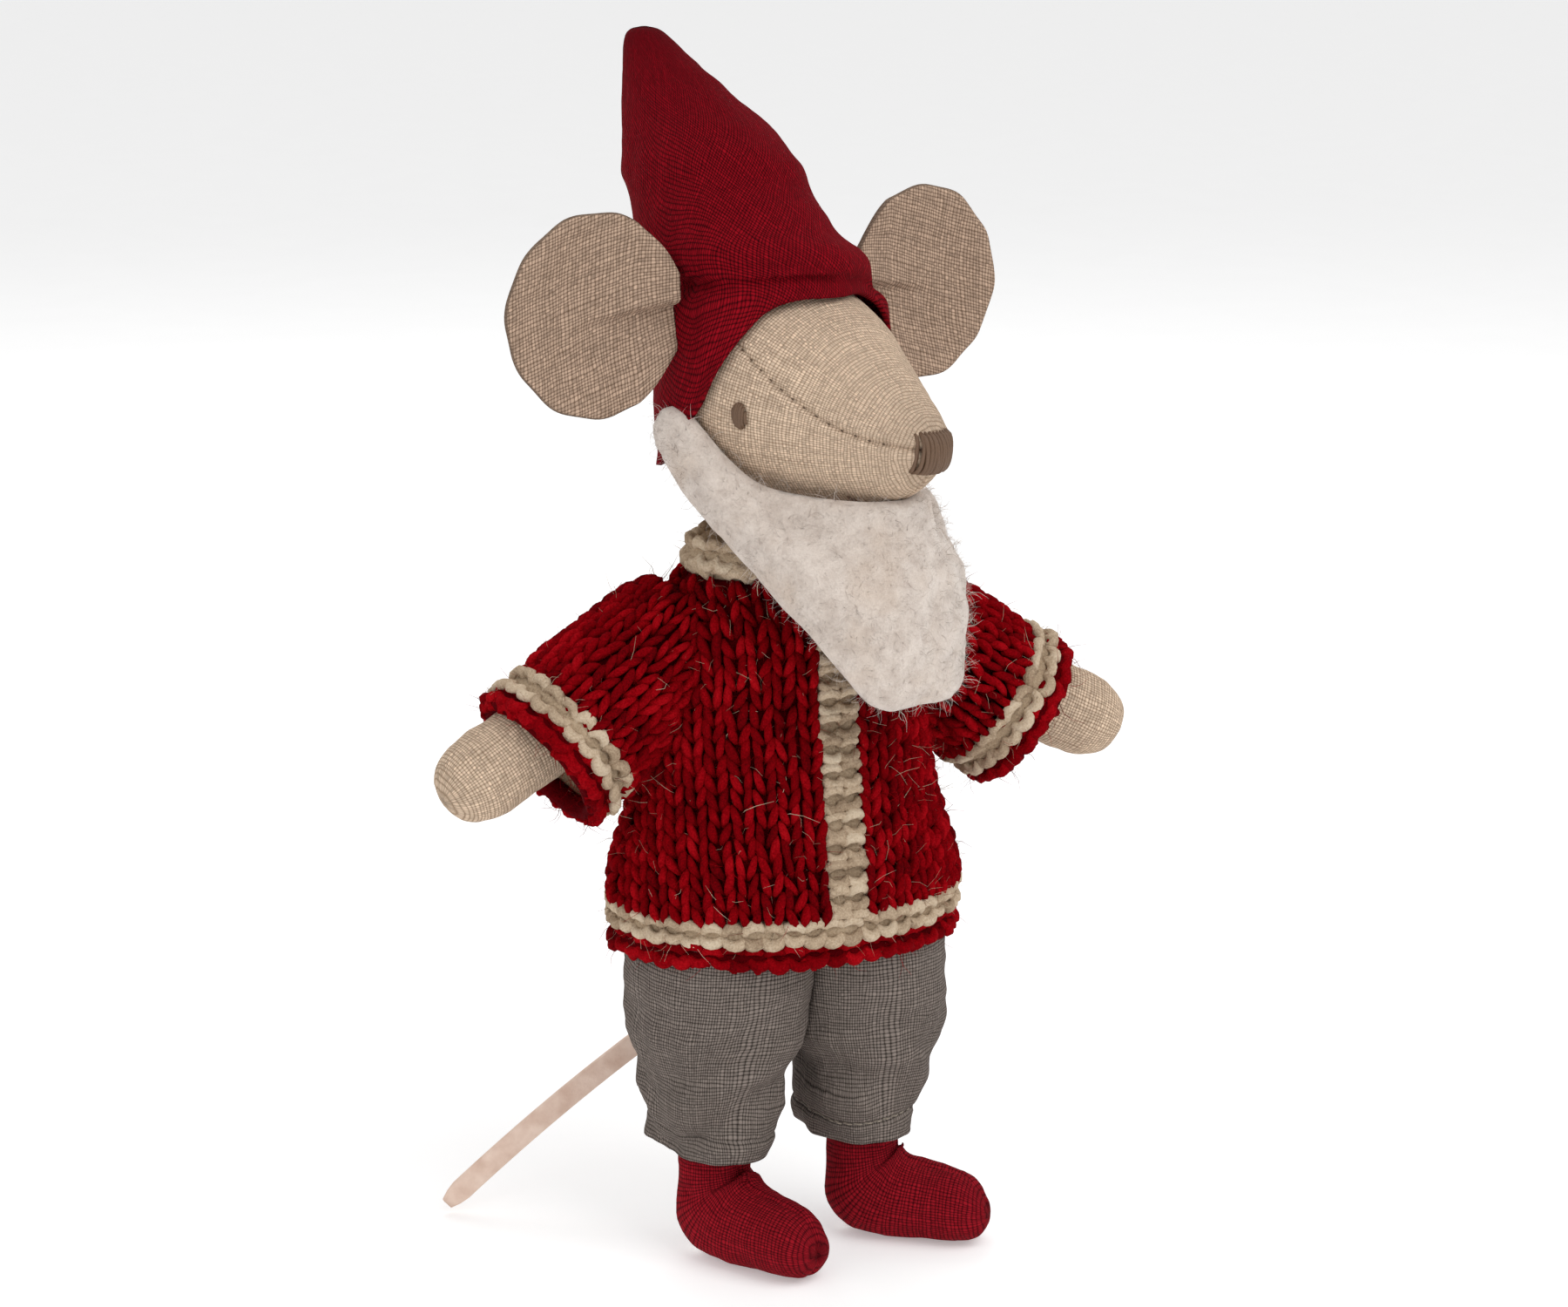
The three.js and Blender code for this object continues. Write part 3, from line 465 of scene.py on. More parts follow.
for side, sign in SIDES.items():
    stations = eased(BOOT_SECTIONS, 64)
    around = np.linspace(0, 2 * np.pi, 64, endpoint=False)
    forward, height, lean, half_length, half_width = (stations[:, i:i + 1] for i in range(5))
    lean = np.radians(lean)
    along = half_length * np.cos(around)
    wide = half_width * np.sign(np.sin(around)) * np.abs(np.sin(around)) ** 0.9
    rings = np.stack([wide, -(forward + along * np.cos(lean)), height + along * np.sin(lean)], -1)
    rings += outward(rings) * (0.34 * rumple(rings, 5.5, 3 + sign) + 0.12 * rumple(rings, 1.9, 5 + sign))[..., None]
    crease = dip(rings[..., 2] - 11.8 - 0.3 * rings[..., 0], 0.9) * (np.cos(around) > -0.2)
    seam = dip(wide, 0.45) * (height < 20)
    rings -= outward(rings) * (0.3 * crease + 0.42 * seam)[..., None]
    rings[..., 2] = np.maximum(rings[..., 2], 0.03 + 0.05 * np.abs(np.sin(3 * rings[..., 1])))
    angle = math.radians(FOOT_TURN[side])
    turned = np.array([[math.cos(angle), math.sin(angle), 0], [-math.sin(angle), math.cos(angle), 0], [0, 0, 1]])
    rings = rings @ turned + np.array([joints[f"hip_{side}"][0], BODY_Y - ANKLE_FORWARD, 0])
    boot = tube(f"boot_{side}", rings, boot_linen)
    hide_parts(f"boot_skin_{side}")
    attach(boot, f"leg_{side}")


# --- Trousers ---
# Wide grey-brown linen trousers, cut as a right and a left half that meet in a seam down the
# middle. An elastic holds the waist. Each hem is turned up and run round with a line of stitches.
# The second colour is painted shade for the gaps between the threads.
trouser_linen = linen("trouser_linen", paint(132, 121, 114), paint(40, 35, 31), 0.5, slub=0.5, relief=0.2)
WAIST_HEIGHT = 58
CROTCH_HEIGHT = 31.5
HEM_HEIGHT = 16.5
HEM_FOLD = 3.3
LINEN_WALL = 0.8
TROUSER_SECTIONS = [
    # height, middle from the body's centre, half width, half depth, how square
    (58.0, 8.6, 12.2, 15.0, 2.0),
    (52.0, 9.2, 12.8, 15.4, 2.2),
    (46.0, 9.8, 12.7, 15.7, 2.4),
    (40.0, 10.2, 12.4, 15.0, 2.5),
    (35.0, 10.6, 11.7, 13.6, 2.7),
    (31.0, 11.2, 10.6, 12.2, 2.8),
    (26.0, 11.6, 9.2, 10.8, 2.8),
    (21.0, 11.8, 8.1, 9.5, 2.8),
    (16.5, 11.8, 7.6, 8.8, 2.6),
]


def walled(name, rings, thickness, material, cloth=None):
    """A tube of cloth with an inner and an outer face, open at both ends."""
    cloth = unrolled(rings) if cloth is None else cloth
    inner = rings - outward(rings) * np.broadcast_to(thickness, rings.shape[:2])[..., None]
    both = np.concatenate([rings, inner[::-1], rings[:1]])
    count, around_count = rings.shape[:2]
    maps = np.concatenate([cloth, cloth[::-1], cloth[:1]])
    points = both[:-1].reshape(-1, 3)
    faces, corners = [], []
    for i in range(2 * count):
        n = (i + 1) % (2 * count)
        for j in range(around_count):
            k = (j + 1) % around_count
            faces.append((i * around_count + j, i * around_count + k, n * around_count + k, n * around_count + j))
            corners.append((maps[i, j], maps[i, j + 1], maps[i + 1, j + 1], maps[i + 1, j]))
    return body_mesh(name, points, faces, corners, material)


def stitching_tree():
    """Lays thread stitches along a path: each a small grain of thread, a gap, then the next."""
    tree = bpy.data.node_groups.new("thread stitches", "GeometryNodeTree")
    face = tree.interface
    face.new_socket("Path", in_out="INPUT", socket_type="NodeSocketGeometry")
    for label, amount in (("Spacing", 0.002), ("Stitch length", 0.0008), ("Thread", 0.0002)):
        face.new_socket(label, in_out="INPUT", socket_type="NodeSocketFloat").default_value = amount
    face.new_socket("Thread colour", in_out="INPUT", socket_type="NodeSocketMaterial")
    face.new_socket("Stitches", in_out="OUTPUT", socket_type="NodeSocketGeometry")
    add = tree.nodes.new
    join = tree.links.new
    given, result = add("NodeGroupInput"), add("NodeGroupOutput")
    curve, spaced = add("GeometryNodeMeshToCurve"), add("GeometryNodeResampleCurve")
    spaced.mode = "LENGTH"
    grain, tangent, turn_to = add("GeometryNodeMeshUVSphere"), add("GeometryNodeInputTangent"), add("FunctionNodeAlignEulerToVector")
    grain.inputs["Segments"].default_value = 8
    grain.inputs["Rings"].default_value = 6
    grain.inputs["Radius"].default_value = 0.5
    turn_to.axis = "X"
    size, onto = add("ShaderNodeCombineXYZ"), add("GeometryNodeInstanceOnPoints")
    solid_mesh, dyed = add("GeometryNodeRealizeInstances"), add("GeometryNodeSetMaterial")
    smooth = add("GeometryNodeSetShadeSmooth")
    join(given.outputs["Path"], curve.inputs["Mesh"])
    join(curve.outputs["Curve"], spaced.inputs["Curve"])
    join(given.outputs["Spacing"], spaced.inputs["Length"])
    join(spaced.outputs["Curve"], onto.inputs["Points"])
    join(grain.outputs["Mesh"], smooth.inputs["Geometry"])
    join(smooth.outputs["Geometry"], onto.inputs["Instance"])
    join(tangent.outputs["Tangent"], turn_to.inputs["Vector"])
    join(turn_to.outputs["Rotation"], onto.inputs["Rotation"])
    join(given.outputs["Stitch length"], size.inputs["X"])
    join(given.outputs["Thread"], size.inputs["Y"])
    join(given.outputs["Thread"], size.inputs["Z"])
    join(size.outputs["Vector"], onto.inputs["Scale"])
    join(onto.outputs["Instances"], solid_mesh.inputs["Geometry"])
    join(solid_mesh.outputs["Geometry"], dyed.inputs["Geometry"])
    join(given.outputs["Thread colour"], dyed.inputs["Material"])
    join(dyed.outputs["Geometry"], result.inputs["Stitches"])
    return tree


def grown(name, base_mesh, tree, **values):
    """The plain mesh that a tree makes from a mesh, with the tree's named inputs set."""
    holder = bpy.data.objects.new(name, base_mesh)
    bpy.context.collection.objects.link(holder)
    modifier = holder.modifiers.new("made", "NODES")
    modifier.node_group = tree
    for item in tree.interface.items_tree:
        label = item.name.replace(" ", "_").lower()
        if label in values:
            modifier[item.identifier] = values[label]
    made = bpy.data.meshes.new_from_object(holder.evaluated_get(bpy.context.evaluated_depsgraph_get()))
    holder.modifiers.remove(modifier)
    holder.data = made
    made.name = name
    return holder


def path_mesh(name, runs):
    """Lines for stitches to follow, each run a list of points in millimetres."""
    points, edges = [], []
    for run in runs:
        edges += [(len(points) + i, len(points) + i + 1) for i in range(len(run) - 1)]
        points += [tuple(np.asarray(point) * MM) for point in run]
    mesh = bpy.data.meshes.new(name)
    mesh.from_pydata(points, edges, [])
    return mesh


def thread(name, red, green, blue):
    made = Finish(name, Roughness=0.6)
    strands = made.grain(made.node("ShaderNodeTexCoord", {}, 3), 9000, 2.0)
    made.bumps(strands, 0.5, 0.05)
    dark = tuple(c * 0.6 for c in paint(red, green, blue))
    return made.done(made.mix(strands.between(0.3, 0.7), dark, paint(red, green, blue)))


stitches = stitching_tree()
trouser_thread = thread("trouser_thread", 150, 138, 124)
THREAD_WIDTH = 0.26

for side, sign in SIDES.items():
    rows = eased(TROUSER_SECTIONS, 96)
    around = np.linspace(0, 2 * np.pi, 112, endpoint=False)
    height, middle, half_width, half_depth, square = (rows[:, i:i + 1] for i in range(5))
    cos, sin = np.cos(around), np.sin(around)
    across = middle + half_width * np.sign(cos) * np.abs(cos) ** (2 / square)
    deep = half_depth * np.sign(sin) * np.abs(sin) ** (2 / square)
    lift = 0.5 * np.cos(around - 0.6) * (height < 24)
    rings = np.stack([across, BODY_Y + deep + 0 * across, height + lift + 0 * across], -1)
    slope = np.clip((CROTCH_HEIGHT + 12 - rings[..., 2]) / 26, 0, 1)
    drag = rings[..., 2] - CROTCH_HEIGHT + 0.55 * np.abs(rings[..., 0])
    folds = 1.35 * np.sin(drag * 0.55 + 2.8 * rumple(rings, 16, 9 + sign)) * slope * (1 - 0.55 * slope)
    folds += (1.25 * slope + 0.3) * rumple(rings, 8.5, 12 + sign, (1, 1, 0.55))
    folds += 0.26 * rumple(rings, 2.8, 15 + sign)
    hem_rise = rings[..., 2] - lift - HEM_HEIGHT
    folds += 0.3 * (hem_rise < HEM_FOLD) - 0.4 * dip(hem_rise - HEM_FOLD, 0.4)
    rings += outward(rings) * folds[..., None]
    rings[..., 0] = np.maximum(rings[..., 0], 0.12)
    hem_line = [rings[np.argmin(np.abs(hem_rise[:, j] - HEM_FOLD)), j] for j in range(len(around))]
    rings[..., 0] *= sign
    trousers = walled(f"trousers_{side}", rings, LINEN_WALL, trouser_linen)
    hem_line = np.array(hem_line + hem_line[:1]) * np.array([sign, 1, 1])
    away = hem_line - hem_line[:-1].mean(0)
    hem_line += away / np.linalg.norm(away, axis=1, keepdims=True) * 0.12
    hem = grown(f"trouser_hem_stitches_{side}", path_mesh("hem line", [hem_line]), stitches,
                spacing=1.5 * MM, stitch_length=0.95 * MM, thread=THREAD_WIDTH * MM, thread_colour=trouser_thread)
    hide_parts(f"trouser_seat_{side}", f"trouser_leg_{side}")
    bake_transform(trousers)
    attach(hem, f"leg_{side}")


# --- Cardigan ---
# Hand knitted from soft red wool in plain stocking stitch: a back and two fronts sewn at the
# sides. The cloth is felted a little, so loose hairs stand off it. It closes under a beige band.
STITCH_WIDTH = 3.2
STITCH_HEIGHT = 2.3
WOOL_WALL = 1.3
KNIT_FROM = 53.6
KNIT_TO = 99.4
CARDIGAN_OUTLINE = [
    # height, half width
    (46.6, 25.0),
    (54.0, 25.1),
    (66.7, 21.9),
    (82.0, 19.4),
    (92.0, 17.8),
    (99.4, 13.8),
]
BODY_DEPTH = 0.74
FRONT_BAND_FROM = -1.0
FRONT_BAND_TO = 4.6


def wool(name, dark, middle, light, gloss=0.0):
    """Soft spun yarn: fine twisted fibres, a little lighter or darker from stitch to stitch."""
    made = Finish(name, Roughness=0.97, Specular_IOR_Level=0.03)
    place = made.node("ShaderNodeTexCoord", {}, 3)
    each = made.node("ShaderNodeNewGeometry", {}, 8)
    fibres = made.grain(place, 3200, 3.0, 0.65)
    cloudy = made.grain(place, 260, 2.0)
    tone = fibres * 0.55 + each * 0.25 + cloudy * 0.35
    made.bumps(fibres + made.grain(place, 900, 2.0) * 0.8, 1.0, 0.3)
    low = made.mix(tone.between(0.3, 0.62), dark, middle)
    return made.done(made.mix(tone.between(0.6, 0.86), low, light))


red_wool = wool("red_wool", paint(60, 0, 4), paint(134, 1, 10), paint(182, 16, 26))
beige_wool = wool("beige_wool", paint(128, 104, 82), paint(196, 174, 148), paint(226, 210, 186))
# Darker copies of the two wools, painted shade: they colour the cloth that shows in the depths between stitches and
# loops.
red_shaded_ground = wool("red_wool_ground", paint(40, 0, 3), paint(84, 0, 6), paint(104, 2, 10))
beige_shaded_ground = wool("beige_wool_ground", paint(120, 98, 78), paint(178, 156, 130), paint(206, 186, 160))


def placing_tree():
    """Sets one small shape at every point, turned and sized as the point says."""
    tree = bpy.data.node_groups.new("small shapes set out", "GeometryNodeTree")
    face = tree.interface
    face.new_socket("Points", in_out="INPUT", socket_type="NodeSocketGeometry")
    face.new_socket("Shape", in_out="INPUT", socket_type="NodeSocketObject")
    face.new_socket("Colour", in_out="INPUT", socket_type="NodeSocketMaterial")
    face.new_socket("Set out", in_out="OUTPUT", socket_type="NodeSocketGeometry")
    add = tree.nodes.new
    join = tree.links.new
    given, result, shape = add("NodeGroupInput"), add("NodeGroupOutput"), add("GeometryNodeObjectInfo")
    onto, turned_to = add("GeometryNodeInstanceOnPoints"), add("FunctionNodeAxesToRotation")
    turned_to.primary_axis = "Z"
    turned_to.secondary_axis = "Y"
    for label, node, socket in (("out", turned_to, "Primary Axis"), ("up", turned_to, "Secondary Axis"), ("size", onto, "Scale")):
        read = add("GeometryNodeInputNamedAttribute")
        read.data_type = "FLOAT_VECTOR"
        read.inputs["Name"].default_value = label
        join(read.outputs["Attribute"], node.inputs[socket])
    real, dyed = add("GeometryNodeRealizeInstances"), add("GeometryNodeSetMaterial")
    join(given.outputs["Points"], onto.inputs["Points"])
    join(given.outputs["Shape"], shape.inputs["Object"])
    join(shape.outputs["Geometry"], onto.inputs["Instance"])
    join(turned_to.outputs["Rotation"], onto.inputs["Rotation"])
    join(onto.outputs["Instances"], real.inputs["Geometry"])
    join(real.outputs["Geometry"], dyed.inputs["Geometry"])
    join(given.outputs["Colour"], dyed.inputs["Material"])
    join(dyed.outputs["Geometry"], result.inputs["Set out"])
    return tree


def points_mesh(name, places, ups, outs, sizes):
    """Points in millimetres with the directions and sizes of the shapes that go on them."""
    mesh = bpy.data.meshes.new(name)
    mesh.from_pydata([tuple(place) for place in np.asarray(places) * MM], [], [])
    for label, values in (("up", ups), ("out", outs), ("size", sizes)):
        layer = mesh.attributes.new(label, "FLOAT_VECTOR", "POINT")
        layer.data.foreach_set("vector", np.asarray(values, "f").ravel())
    return mesh


def yarn(name, centre_lines, thick, flat_by, sides=6):
    """Short lengths of yarn along the given lines, full in the middle and thin at both ends."""
    points, faces = [], []
    for line, radius in zip(centre_lines, thick):
        line = np.asarray(line, float)
        tangent = np.gradient(line, axis=0)
        tangent /= np.linalg.norm(tangent, axis=1, keepdims=True)
        # The way across is taken from the direction that the line runs along the least
        side_axis = np.cross(tangent, np.eye(3)[np.abs(tangent).max(0).argmin()])
        side_axis /= np.linalg.norm(side_axis, axis=1, keepdims=True)
        top_axis = np.cross(side_axis, tangent)
        start = len(points)
        for i, place in enumerate(line):
            for j in range(sides):
                angle = 2 * math.pi * j / sides
                across_it = side_axis[i] * math.cos(angle) + top_axis[i] * math.sin(angle) * flat_by
                points.append(place + radius[i] * across_it)
        for i in range(len(line) - 1):
            for j in range(sides):
                k = (j + 1) % sides
                a, b = start + i * sides, start + (i + 1) * sides
                faces.append((a + j, a + k, b + k, b + j))
        faces.append(tuple(start + j for j in reversed(range(sides))))
        faces.append(tuple(start + (len(line) - 1) * sides + j for j in range(sides)))
    points = np.array(points)
    if volume(points, [face[:4] for face in faces]) < 0:
        faces = [face[::-1] for face in faces]
    mesh = bpy.data.meshes.new(name)
    mesh.from_pydata([tuple(point * MM) for point in points], [], faces)
    mesh.shade_smooth()
    obj = bpy.data.objects.new(name, mesh)
    obj.hide_render = True
    bpy.context.collection.objects.link(obj)
    return obj


def knit_leg(side):
    t = np.linspace(0, 1, 7)
    x = side * (0.2 + 1.12 * t ** 0.8)
    y = -1.75 + 3.6 * t
    z = -0.6 + 1.1 * np.sin(np.pi * (0.06 + 0.8 * t))
    return np.stack([x, y, z], 1)


LEG_THICKNESS = np.array([0.36, 0.62, 0.74, 0.78, 0.74, 0.6, 0.34])
knit_shape = yarn("knit stitch", [knit_leg(-1), knit_leg(1)], [LEG_THICKNESS, LEG_THICKNESS], 0.85)
arc = np.linspace(0, np.pi, 9)
LOOP_THICKNESS = np.array([0.5, 0.68, 0.78, 0.84, 0.86, 0.84, 0.78, 0.68, 0.5])
loop_line = np.stack([-1.35 * np.cos(arc), 1.15 * np.sin(arc) - 0.5, 0.75 * np.sin(arc) - 0.35], 1)
loop_shape = yarn("looped stitch", [loop_line], [LOOP_THICKNESS], 0.9)
hair_t = np.linspace(0, 1, 4)
hair_line = np.stack([0.45 * hair_t ** 2, 0.16 * np.sin(3 * hair_t), hair_t], 1)
hair_shape = yarn("stray hair", [hair_line], [np.array([1.0, 0.9, 0.7, 0.35]) * 0.011], 1.0, sides=3)
placing = placing_tree()


def set_out(name, shape, colour, places, ups, outs, sizes):
    """One mesh of a shape repeated at the given places."""
    return grown(name, points_mesh(name, places, ups, outs, sizes), placing, shape=shape, colour=colour)


def hairs(name, obj, count, length, seed, colour, clump=1.0, lean=0.75, width=1.0):
    """Loose hairs standing off a piece, more or less laid over."""
    rng = np.random.default_rng(seed)
    mesh = obj.data
    mesh.calc_loop_triangles()
    corners = np.empty(len(mesh.loop_triangles) * 3, int)
    mesh.loop_triangles.foreach_get("vertices", corners)
    spots = np.empty(len(mesh.vertices) * 3)
    mesh.vertices.foreach_get("co", spots)
    triangles = spots.reshape(-1, 3)[corners.reshape(-1, 3)] / MM
    normal = np.cross(triangles[:, 1] - triangles[:, 0], triangles[:, 2] - triangles[:, 0])
    area = np.linalg.norm(normal, axis=1)
    pick = rng.choice(len(area), count, p=area / area.sum())
    a, b = rng.random((2, count, 1))
    flip = a + b > 1
    a, b = np.where(flip, 1 - a, a), np.where(flip, 1 - b, b)
    corner = triangles[pick]
    places = corner[:, 0] + a * (corner[:, 1] - corner[:, 0]) + b * (corner[:, 2] - corner[:, 0])
    normal = normal[pick] / area[pick, None]
    drift = rng.normal(size=(count, 3))
    outs = normal + lean * drift / np.linalg.norm(drift, axis=1, keepdims=True)
    lengths = length * (0.35 + rng.random(count) ** 2 * 1.3)
    thick = width * (0.7 + 0.6 * rng.random(count))
    bend = lengths * rng.uniform(0.4, 1.6, count) * clump
    sizes = np.stack([bend, bend, lengths], 1)
    sizes[:, :2] = np.maximum(sizes[:, :2], thick[:, None])
    return set_out(name, hair_shape, colour, places, rng.normal(size=(count, 3)), outs, sizes)


def half_width_at(height):
    heights, widths = np.array(CARDIGAN_OUTLINE).T
    smooth = eased(CARDIGAN_OUTLINE, 60)
    return np.interp(height, smooth[:, 0], smooth[:, 1])


def round_body(height, away, face, lift=0.0):
    """The point on the body that far sideways round from the centre line, and its way out."""
    half = half_width_at(height) + lift
    t = np.linspace(0, np.pi / 2, 48)
    steps = np.hypot(half * np.cos(t[1:] + t[:-1]) ** 0 * np.diff(np.sin(t)), half * BODY_DEPTH * np.diff(np.cos(t)))
    lengths = np.concatenate([[0], np.cumsum(steps)])
    turned_by = np.interp(abs(away), lengths, t)
    x = math.copysign(half * math.sin(turned_by), away)
    y = half * BODY_DEPTH * math.cos(turned_by)
    way = np.array([math.copysign(math.sin(turned_by) * BODY_DEPTH, away), face * -math.cos(turned_by), 0])
    sag = 0.5 * noise.noise(Vector((x / 13, face * 3.1, height / 13))) + 0.35 * noise.noise(Vector((x / 6, face * 5, height / 7)))
    way /= np.linalg.norm(way)
    return np.array([x, BODY_Y - face * y, height]) + way * sag, way, lengths[-1]


def panel(name, grid, ways, thickness, material):
    """A piece of cloth over a grid of points, with a back face and closed edges."""
    grid, ways = np.asarray(grid), np.asarray(ways)
    rows, columns = grid.shape[:2]
    points = np.concatenate([grid.reshape(-1, 3), (grid - ways * thickness).reshape(-1, 3)])
    offset = rows * columns
    faces = []
    for i in range(rows - 1):
        for j in range(columns - 1):
            a, b = i * columns + j, (i + 1) * columns + j
            faces.append((a, a + 1, b + 1, b))
            faces.append((b + offset, b + 1 + offset, a + 1 + offset, a + offset))
    rim = [j for j in range(columns)] + [i * columns + columns - 1 for i in range(1, rows)]
    rim += [(rows - 1) * columns + j for j in range(columns - 2, -1, -1)] + [i * columns for i in range(rows - 2, 0, -1)]
    for a, b in zip(rim, rim[1:] + rim[:1]):
        faces.append((b, a, a + offset, b + offset))
    cloth = [[(points[corner][0], points[corner][2]) for corner in face] for face in faces]
    return body_mesh(name, points, faces, cloth, material)


shoulders = {side: joints[f"shoulder_{side}"] for side in SIDES}
SLEEVE_DROP = math.radians(35)
SLEEVE_FORWARD = math.radians(8)


def arm_line(sign, drop=SLEEVE_DROP):
    level = math.cos(drop)
    line = np.array([sign * level * math.cos(SLEEVE_FORWARD), -math.sin(SLEEVE_FORWARD), -math.sin(drop)])
    return line / np.linalg.norm(line)


def in_sleeve(place, spare=3.5):
    """Whether a place on the body is covered by a sleeve."""
    for side, sign in SIDES.items():
        along_it = np.dot(place - shoulders[side], arm_line(sign))
        off_it = np.linalg.norm(place - shoulders[side] - along_it * arm_line(sign))
        if along_it > 2 and off_it < 8.0 - spare:
            return True
    return False


def cardigan_piece(name, node, face, side_from, side_to):
    """One knitted piece of the body with its rows of stitches. Sides run -1 to 1 round the front."""
    heights = np.linspace(KNIT_FROM, KNIT_TO, 30)
    grid, ways = [], []
    for height in heights:
        reach = round_body(height, 0, face)[2]
        ends = [side * reach if abs(side) == 1 else side * 100 for side in (side_from, side_to)]
        row = [round_body(height, away, face) for away in np.linspace(*ends, 30)]
        grid.append([point - way * 0.5 for point, way, _ in row])
        ways.append([way for _, way, _ in row])
    # The panel under the stitches is in the darker ground wool, painted shade for the depths between them.
    base = panel(name, grid, ways, WOOL_WALL, red_shaded_ground)
    rng = np.random.default_rng(41)
    places, ups, outs, sizes = [], [], [], []
    rows = int((KNIT_TO - KNIT_FROM) / STITCH_HEIGHT)
    # Columns are counted from the front band, or from the middle of the back
    first = sum(side * 100 for side in (side_from, side_to) if abs(side) < 1)
    for row in range(rows + 1):
        height = KNIT_FROM + 0.5 + row * STITCH_HEIGHT
        reach = round_body(height, 0, face)[2]
        for column in range(-14, 14):
            away = first + (column + 0.5) * STITCH_WIDTH
            low = -reach if side_from == -1 else side_from * 100
            high = reach if side_to == 1 else side_to * 100
            if not low + 0.5 < away < high - 0.5:
                continue
            place, way, _ = round_body(height + rng.normal(0, 0.16), away + rng.normal(0, 0.12), face)
            if in_sleeve(place):
                continue
            above = round_body(height + 2, away, face)[0]
            places.append(place + way * 0.1)
            ups.append(above - place + np.array([rng.normal(0, 0.22), 0, 0]))
            outs.append(way)
            fat = rng.normal(1, 0.06)
            sizes.append((fat, rng.normal(1, 0.07), fat * 1.05))
    stitches_on = set_out(f"{name}_stitches", knit_shape, red_wool, places, ups, outs, sizes)
    fuzz = hairs(f"{name}_hairs", base, 3800, 2.3, 7 + face + len(places), red_wool)
    pale = hairs(f"{name}_pale_hairs", base, 420, 3.2, 9 + face + len(places), beige_wool)
    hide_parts(node)
    for piece in (base, stitches_on, fuzz, pale):
        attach(piece, "torso")
    area = sum((round_body(h, 0, face)[2]) for h in heights) / 30 * (KNIT_TO - KNIT_FROM) / 1e6
    if abs(side_from) == 1 and abs(side_to) == 1:
        area *= 2


cardigan_piece("knit_back", "cardigan_back", -1, -1, 1)
cardigan_piece("knit_front_right", "cardigan_front_right", 1, -1, FRONT_BAND_FROM / 100)
cardigan_piece("knit_front_left", "cardigan_front_left", 1, FRONT_BAND_TO / 100, 1)


# --- Beige front band ---
# A narrow strip knitted crossways in beige wool and sewn down the front edge. Each row of it
# makes a small looped ridge.
RIDGE_SPACING = 1.7
grid, ways = [], []
for height in np.linspace(KNIT_FROM - 1, KNIT_TO, 32):
    row = [round_body(height, away, 1) for away in np.linspace(FRONT_BAND_FROM + 0.1, FRONT_BAND_TO - 0.1, 7)]
    grid.append([point + way * 0.25 for point, way, _ in row])
    ways.append([way for _, way, _ in row])
# The strip under the loops is in the darker ground wool, painted shade between the ridges.
front_band = panel("front_band", grid, ways, WOOL_WALL, beige_shaded_ground)
rng = np.random.default_rng(12)
places, ups, outs, sizes = [], [], [], []
for ridge in range(int((KNIT_TO - KNIT_FROM) / RIDGE_SPACING) + 1):
    for nth in range(2):
        away = FRONT_BAND_FROM + 1.45 + nth * 2.7 + rng.normal(0, 0.12)
        place, way, _ = round_body(KNIT_FROM + ridge * RIDGE_SPACING + rng.normal(0, 0.12), away, 1)
        places.append(place + way * 0.55)
        ups.append((rng.normal(0, 0.12), 0, (-1) ** ridge))
        outs.append(way)
        sizes.append((rng.normal(1.02, 0.06), rng.normal(0.95, 0.08), rng.normal(1, 0.08)))
band_loops = set_out("front_band_loops", loop_shape, beige_wool, places, ups, outs, sizes)
band_hairs = hairs("front_band_hairs", front_band, 260, 2.4, 77, beige_wool)
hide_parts("cardigan_front_band")
for piece in (front_band, band_loops, band_hairs):
    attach(piece, "torso")


# --- Hem and neck trims ---
# The hem ends in two rows of beige loops, then a few rows of red that roll up by themselves.
# The neck ends in a beige rolled row.
def hoop(centre, axis, first, half_first, half_second, spacing):
    """Places at even spacing round an oval, with the way out and the way along the hoop."""
    axis, first = np.array(axis, float), np.array(first, float)
    second = np.cross(axis, first)
    t = np.linspace(0, 2 * np.pi, 400, endpoint=False)
    oval = np.outer(half_first * np.cos(t), first) + np.outer(half_second * np.sin(t), second)
    lengths = np.concatenate([[0], np.cumsum(np.linalg.norm(np.diff(oval, axis=0, append=oval[:1]), axis=1))])
    count = max(6, round(lengths[-1] / spacing))
    spots = np.interp((np.arange(count) + 0.5) / count * lengths[-1], lengths, np.concatenate([t, [2 * np.pi]]))
    places = centre + np.outer(half_first * np.cos(spots), first) + np.outer(half_second * np.sin(spots), second)
    outs = np.outer(np.cos(spots) / half_first, first) + np.outer(np.sin(spots) / half_second, second)
    return places, outs / np.linalg.norm(outs, axis=1, keepdims=True)


def looped_trim(name, hoops, colour, seed, jitter=0.12, push=0.3, shape=None, wide=1.0):
    """Rows of loops round an opening. Each hoop is its centre, axis, first way, sizes and which way up."""
    rng = np.random.default_rng(seed)
    places, ups, outs, sizes = [], [], [], []
    for centre, axis, first, half_first, half_second, way_up in hoops:
        spots, ways = hoop(np.asarray(centre, float), axis, first, half_first, half_second, 2.75 * wide)
        for spot, way in zip(spots, ways):
            places.append(spot + way * push + rng.normal(0, jitter, 3))
            ups.append(np.asarray(axis) * way_up + rng.normal(0, 0.14, 3))
            outs.append(way)
            sizes.append((rng.normal(1.0 * wide, 0.05), rng.normal(1.0, 0.09), rng.normal(1.0, 0.09)))
    return set_out(name, shape or loop_shape, colour, places, ups, outs, sizes)


